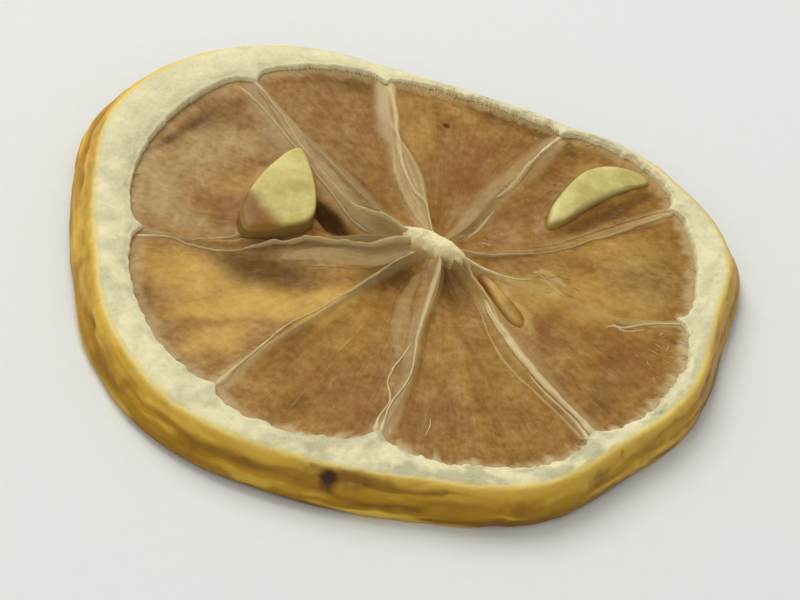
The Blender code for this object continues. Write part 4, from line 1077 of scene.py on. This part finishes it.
# A seed: its outline drawn in towards its middle by a share s. Above, the level is the upper
# side's, lowered as (1 - s ** p) ** (1 / p) falls from 1 to 0; below it is a dome with p = 2.2.
def seedPiece(name, seed):
    f, upRows, lowRows = seeds[name], 34, 20
    line = seedOutline(f, 120)
    u = np.linspace(0, 1, upRows)
    s = np.concatenate([.03 + .97 * (1 - (1 - u) ** 1.8), np.linspace(.995, .05, lowRows)])[:, None]
    upper = np.arange(upRows + lowRows)[:, None] < upRows
    power = np.where(upper, f["full"], 2.2)
    share = (1 - np.minimum(s, 1) ** power) ** (1 / power)
    offX, offY = (s * (line[:, k] - f["middle"][k]) for k in (0, 1))
    x, y = f["middle"][0] + offX, f["middle"][1] + offY
    top = f["top"] + f["slopeX"] * offX + f["slopeY"] * offY
    waist = f["foot"] + .45 * (top - f["foot"])
    z = np.where(upper, waist + share * (top - waist), waist - share * (waist - f["foot"]))
    z = z + .05 * upper * planNoise(x, y, 1.6, 9, 500 + seed)
    noise = planNoise(x, y, .9, 5, 510 + seed)
    # side: the wall down from the upper face and the underside, painted a darker brown as painted shade
    # where it goes down into the flesh
    side = np.where(upper, ramp(share, .93, .62), 1.0)
    if name == "seed_left":
        skin = ramp(-x + .9 * (2.6 - y) + .5 * noise, 9.9, 11.9)
    elif name == "seed_low":
        skin = ramp(x - 7.9 + (y + .8) * .72 + .35 * noise, .3, 1.3)
    else:
        skin = .5 * side * ramp(noise, 0.0, .6)
    border = ramp(s, *f["rim"]) * (1 - side) * f["rimPlain"]
    layers = dict(face=joined(side * .96, skin * (1 - .95 * side), border, 1.0))
    surface = closedGrid(joined(x, y, z), joined(x, y), layers,
                         ends=(f["middle"] + (f["top"],), f["middle"] + (f["foot"],)))
    return pieceFrom(name.replace("_", "") + "_body", [surface], seedMaterial(name))


seedPieces = {name: seedPiece(name, k) for k, name in enumerate(seeds)}

for piece in [flesh, ring, core, fibres] + threads:
    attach(piece, "root")
    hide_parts("slice")
for name, piece in seedPieces.items():
    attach(piece, "root")
    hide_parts(name)

studio = dict(floorLow="e4e5e1", floorHigh="e8e9e5", floorWide=2, sky="eceeec", skyStrength=.56,
              # panels: bearing, height, distance, size and strength
              key=(125, 50, .6, .4, 1.55), fill=(255, 40, .7, .6, .3))


# Plain pale paper for the floor, with the faintest tooth.
def floorMaterial():
    made, add, shader, place = newMaterial("pale paper", Roughness=.9)
    tooth = add("TexNoise", {"Vector": place, "Scale": 900.0})
    colour = add("ValToRGB", [tooth], [(0.0, studio["floorLow"]), (1.0, studio["floorHigh"])])
    setSockets(shader, {"Base Color": colour})
    return made


half = studio["floorWide"]
floorMesh = bpy.data.meshes.new("floor")
corners = [(-half, -half, 0), (half, -half, 0), (half, half, 0), (-half, half, 0)]
floorMesh.from_pydata(corners, [], [(0, 1, 2, 3)])
floorMesh.materials.append(floorMaterial())
floor = bpy.data.objects.new("floor", floorMesh)
bpy.context.scene.collection.objects.link(floor)

world = bpy.data.worlds.new("studio")
world.use_nodes = True
bpy.context.scene.world = world
setSockets(world.node_tree.nodes["Background"], {"Color": studio["sky"], "Strength": studio["skyStrength"]})


# Places a lamp or the camera by its right, up and back directions and its place.
def stand(name, data, *directions):
    made = bpy.data.objects.new(name, data)
    made.matrix_world = Matrix([list(row) for row in np.stack(directions, axis=1)] + [[0, 0, 0, 1]])
    bpy.context.scene.collection.objects.link(made)
    return made


# Soft round panel of light at a bearing and height, aimed at the slice; its power grows with
# the square of its distance, so that `strength` is the light that arrives.
def panel(name, bearing, height, distance, size, strength):
    light = bpy.data.lights.new(name, "AREA")
    light.shape = "DISK"
    light.size = size
    light.energy = strength * distance ** 2 * 4
    b, h = math.radians(bearing), math.radians(height)
    away = np.array([math.cos(h) * math.cos(b), math.cos(h) * math.sin(b), math.sin(h)])
    side = np.cross((0.0, 0.0, 1.0), away)
    side /= np.linalg.norm(side)
    stand(name, light, side, np.cross(away, side), away, away * distance)


panel("key", *studio["key"])
panel("fill", *studio["fill"])

# Camera: 300 mm off, 40 degrees above the floor, turned 13 degrees about its own line of sight,
# and aimed a little beside the middle of the slice, which is given in the focal length's unit.
view = dict(distance=.3, height=40, roll=13, lens=182.2, sensor=36, aimX=1, aimY=-6.5, focal=1518)
h, r = math.radians(view["height"]), math.radians(view["roll"])
ahead = np.array([0.0, math.cos(h), -math.sin(h)])
upward = np.array([0.0, math.sin(h), math.cos(h)])
right = np.array([math.cos(r), 0.0, 0.0]) + upward * math.sin(r)
above = np.array([-math.sin(r), 0.0, 0.0]) + upward * math.cos(r)
aim = ahead * view["focal"] + right * view["aimX"] + above * view["aimY"]
aim /= np.linalg.norm(aim)
right = np.cross(aim, above)
right /= np.linalg.norm(right)
eye = np.array([*sliceForm["middle"], 0.0]) * mm - ahead * view["distance"]
lens = bpy.data.cameras.new("camera")
lens.lens = view["lens"]
lens.sensor_width = view["sensor"]
lens.clip_start = .01
bpy.context.scene.camera = stand("camera", lens, right, np.cross(right, aim), -aim, eye)
bpy.context.scene.view_settings.view_transform = "Standard"
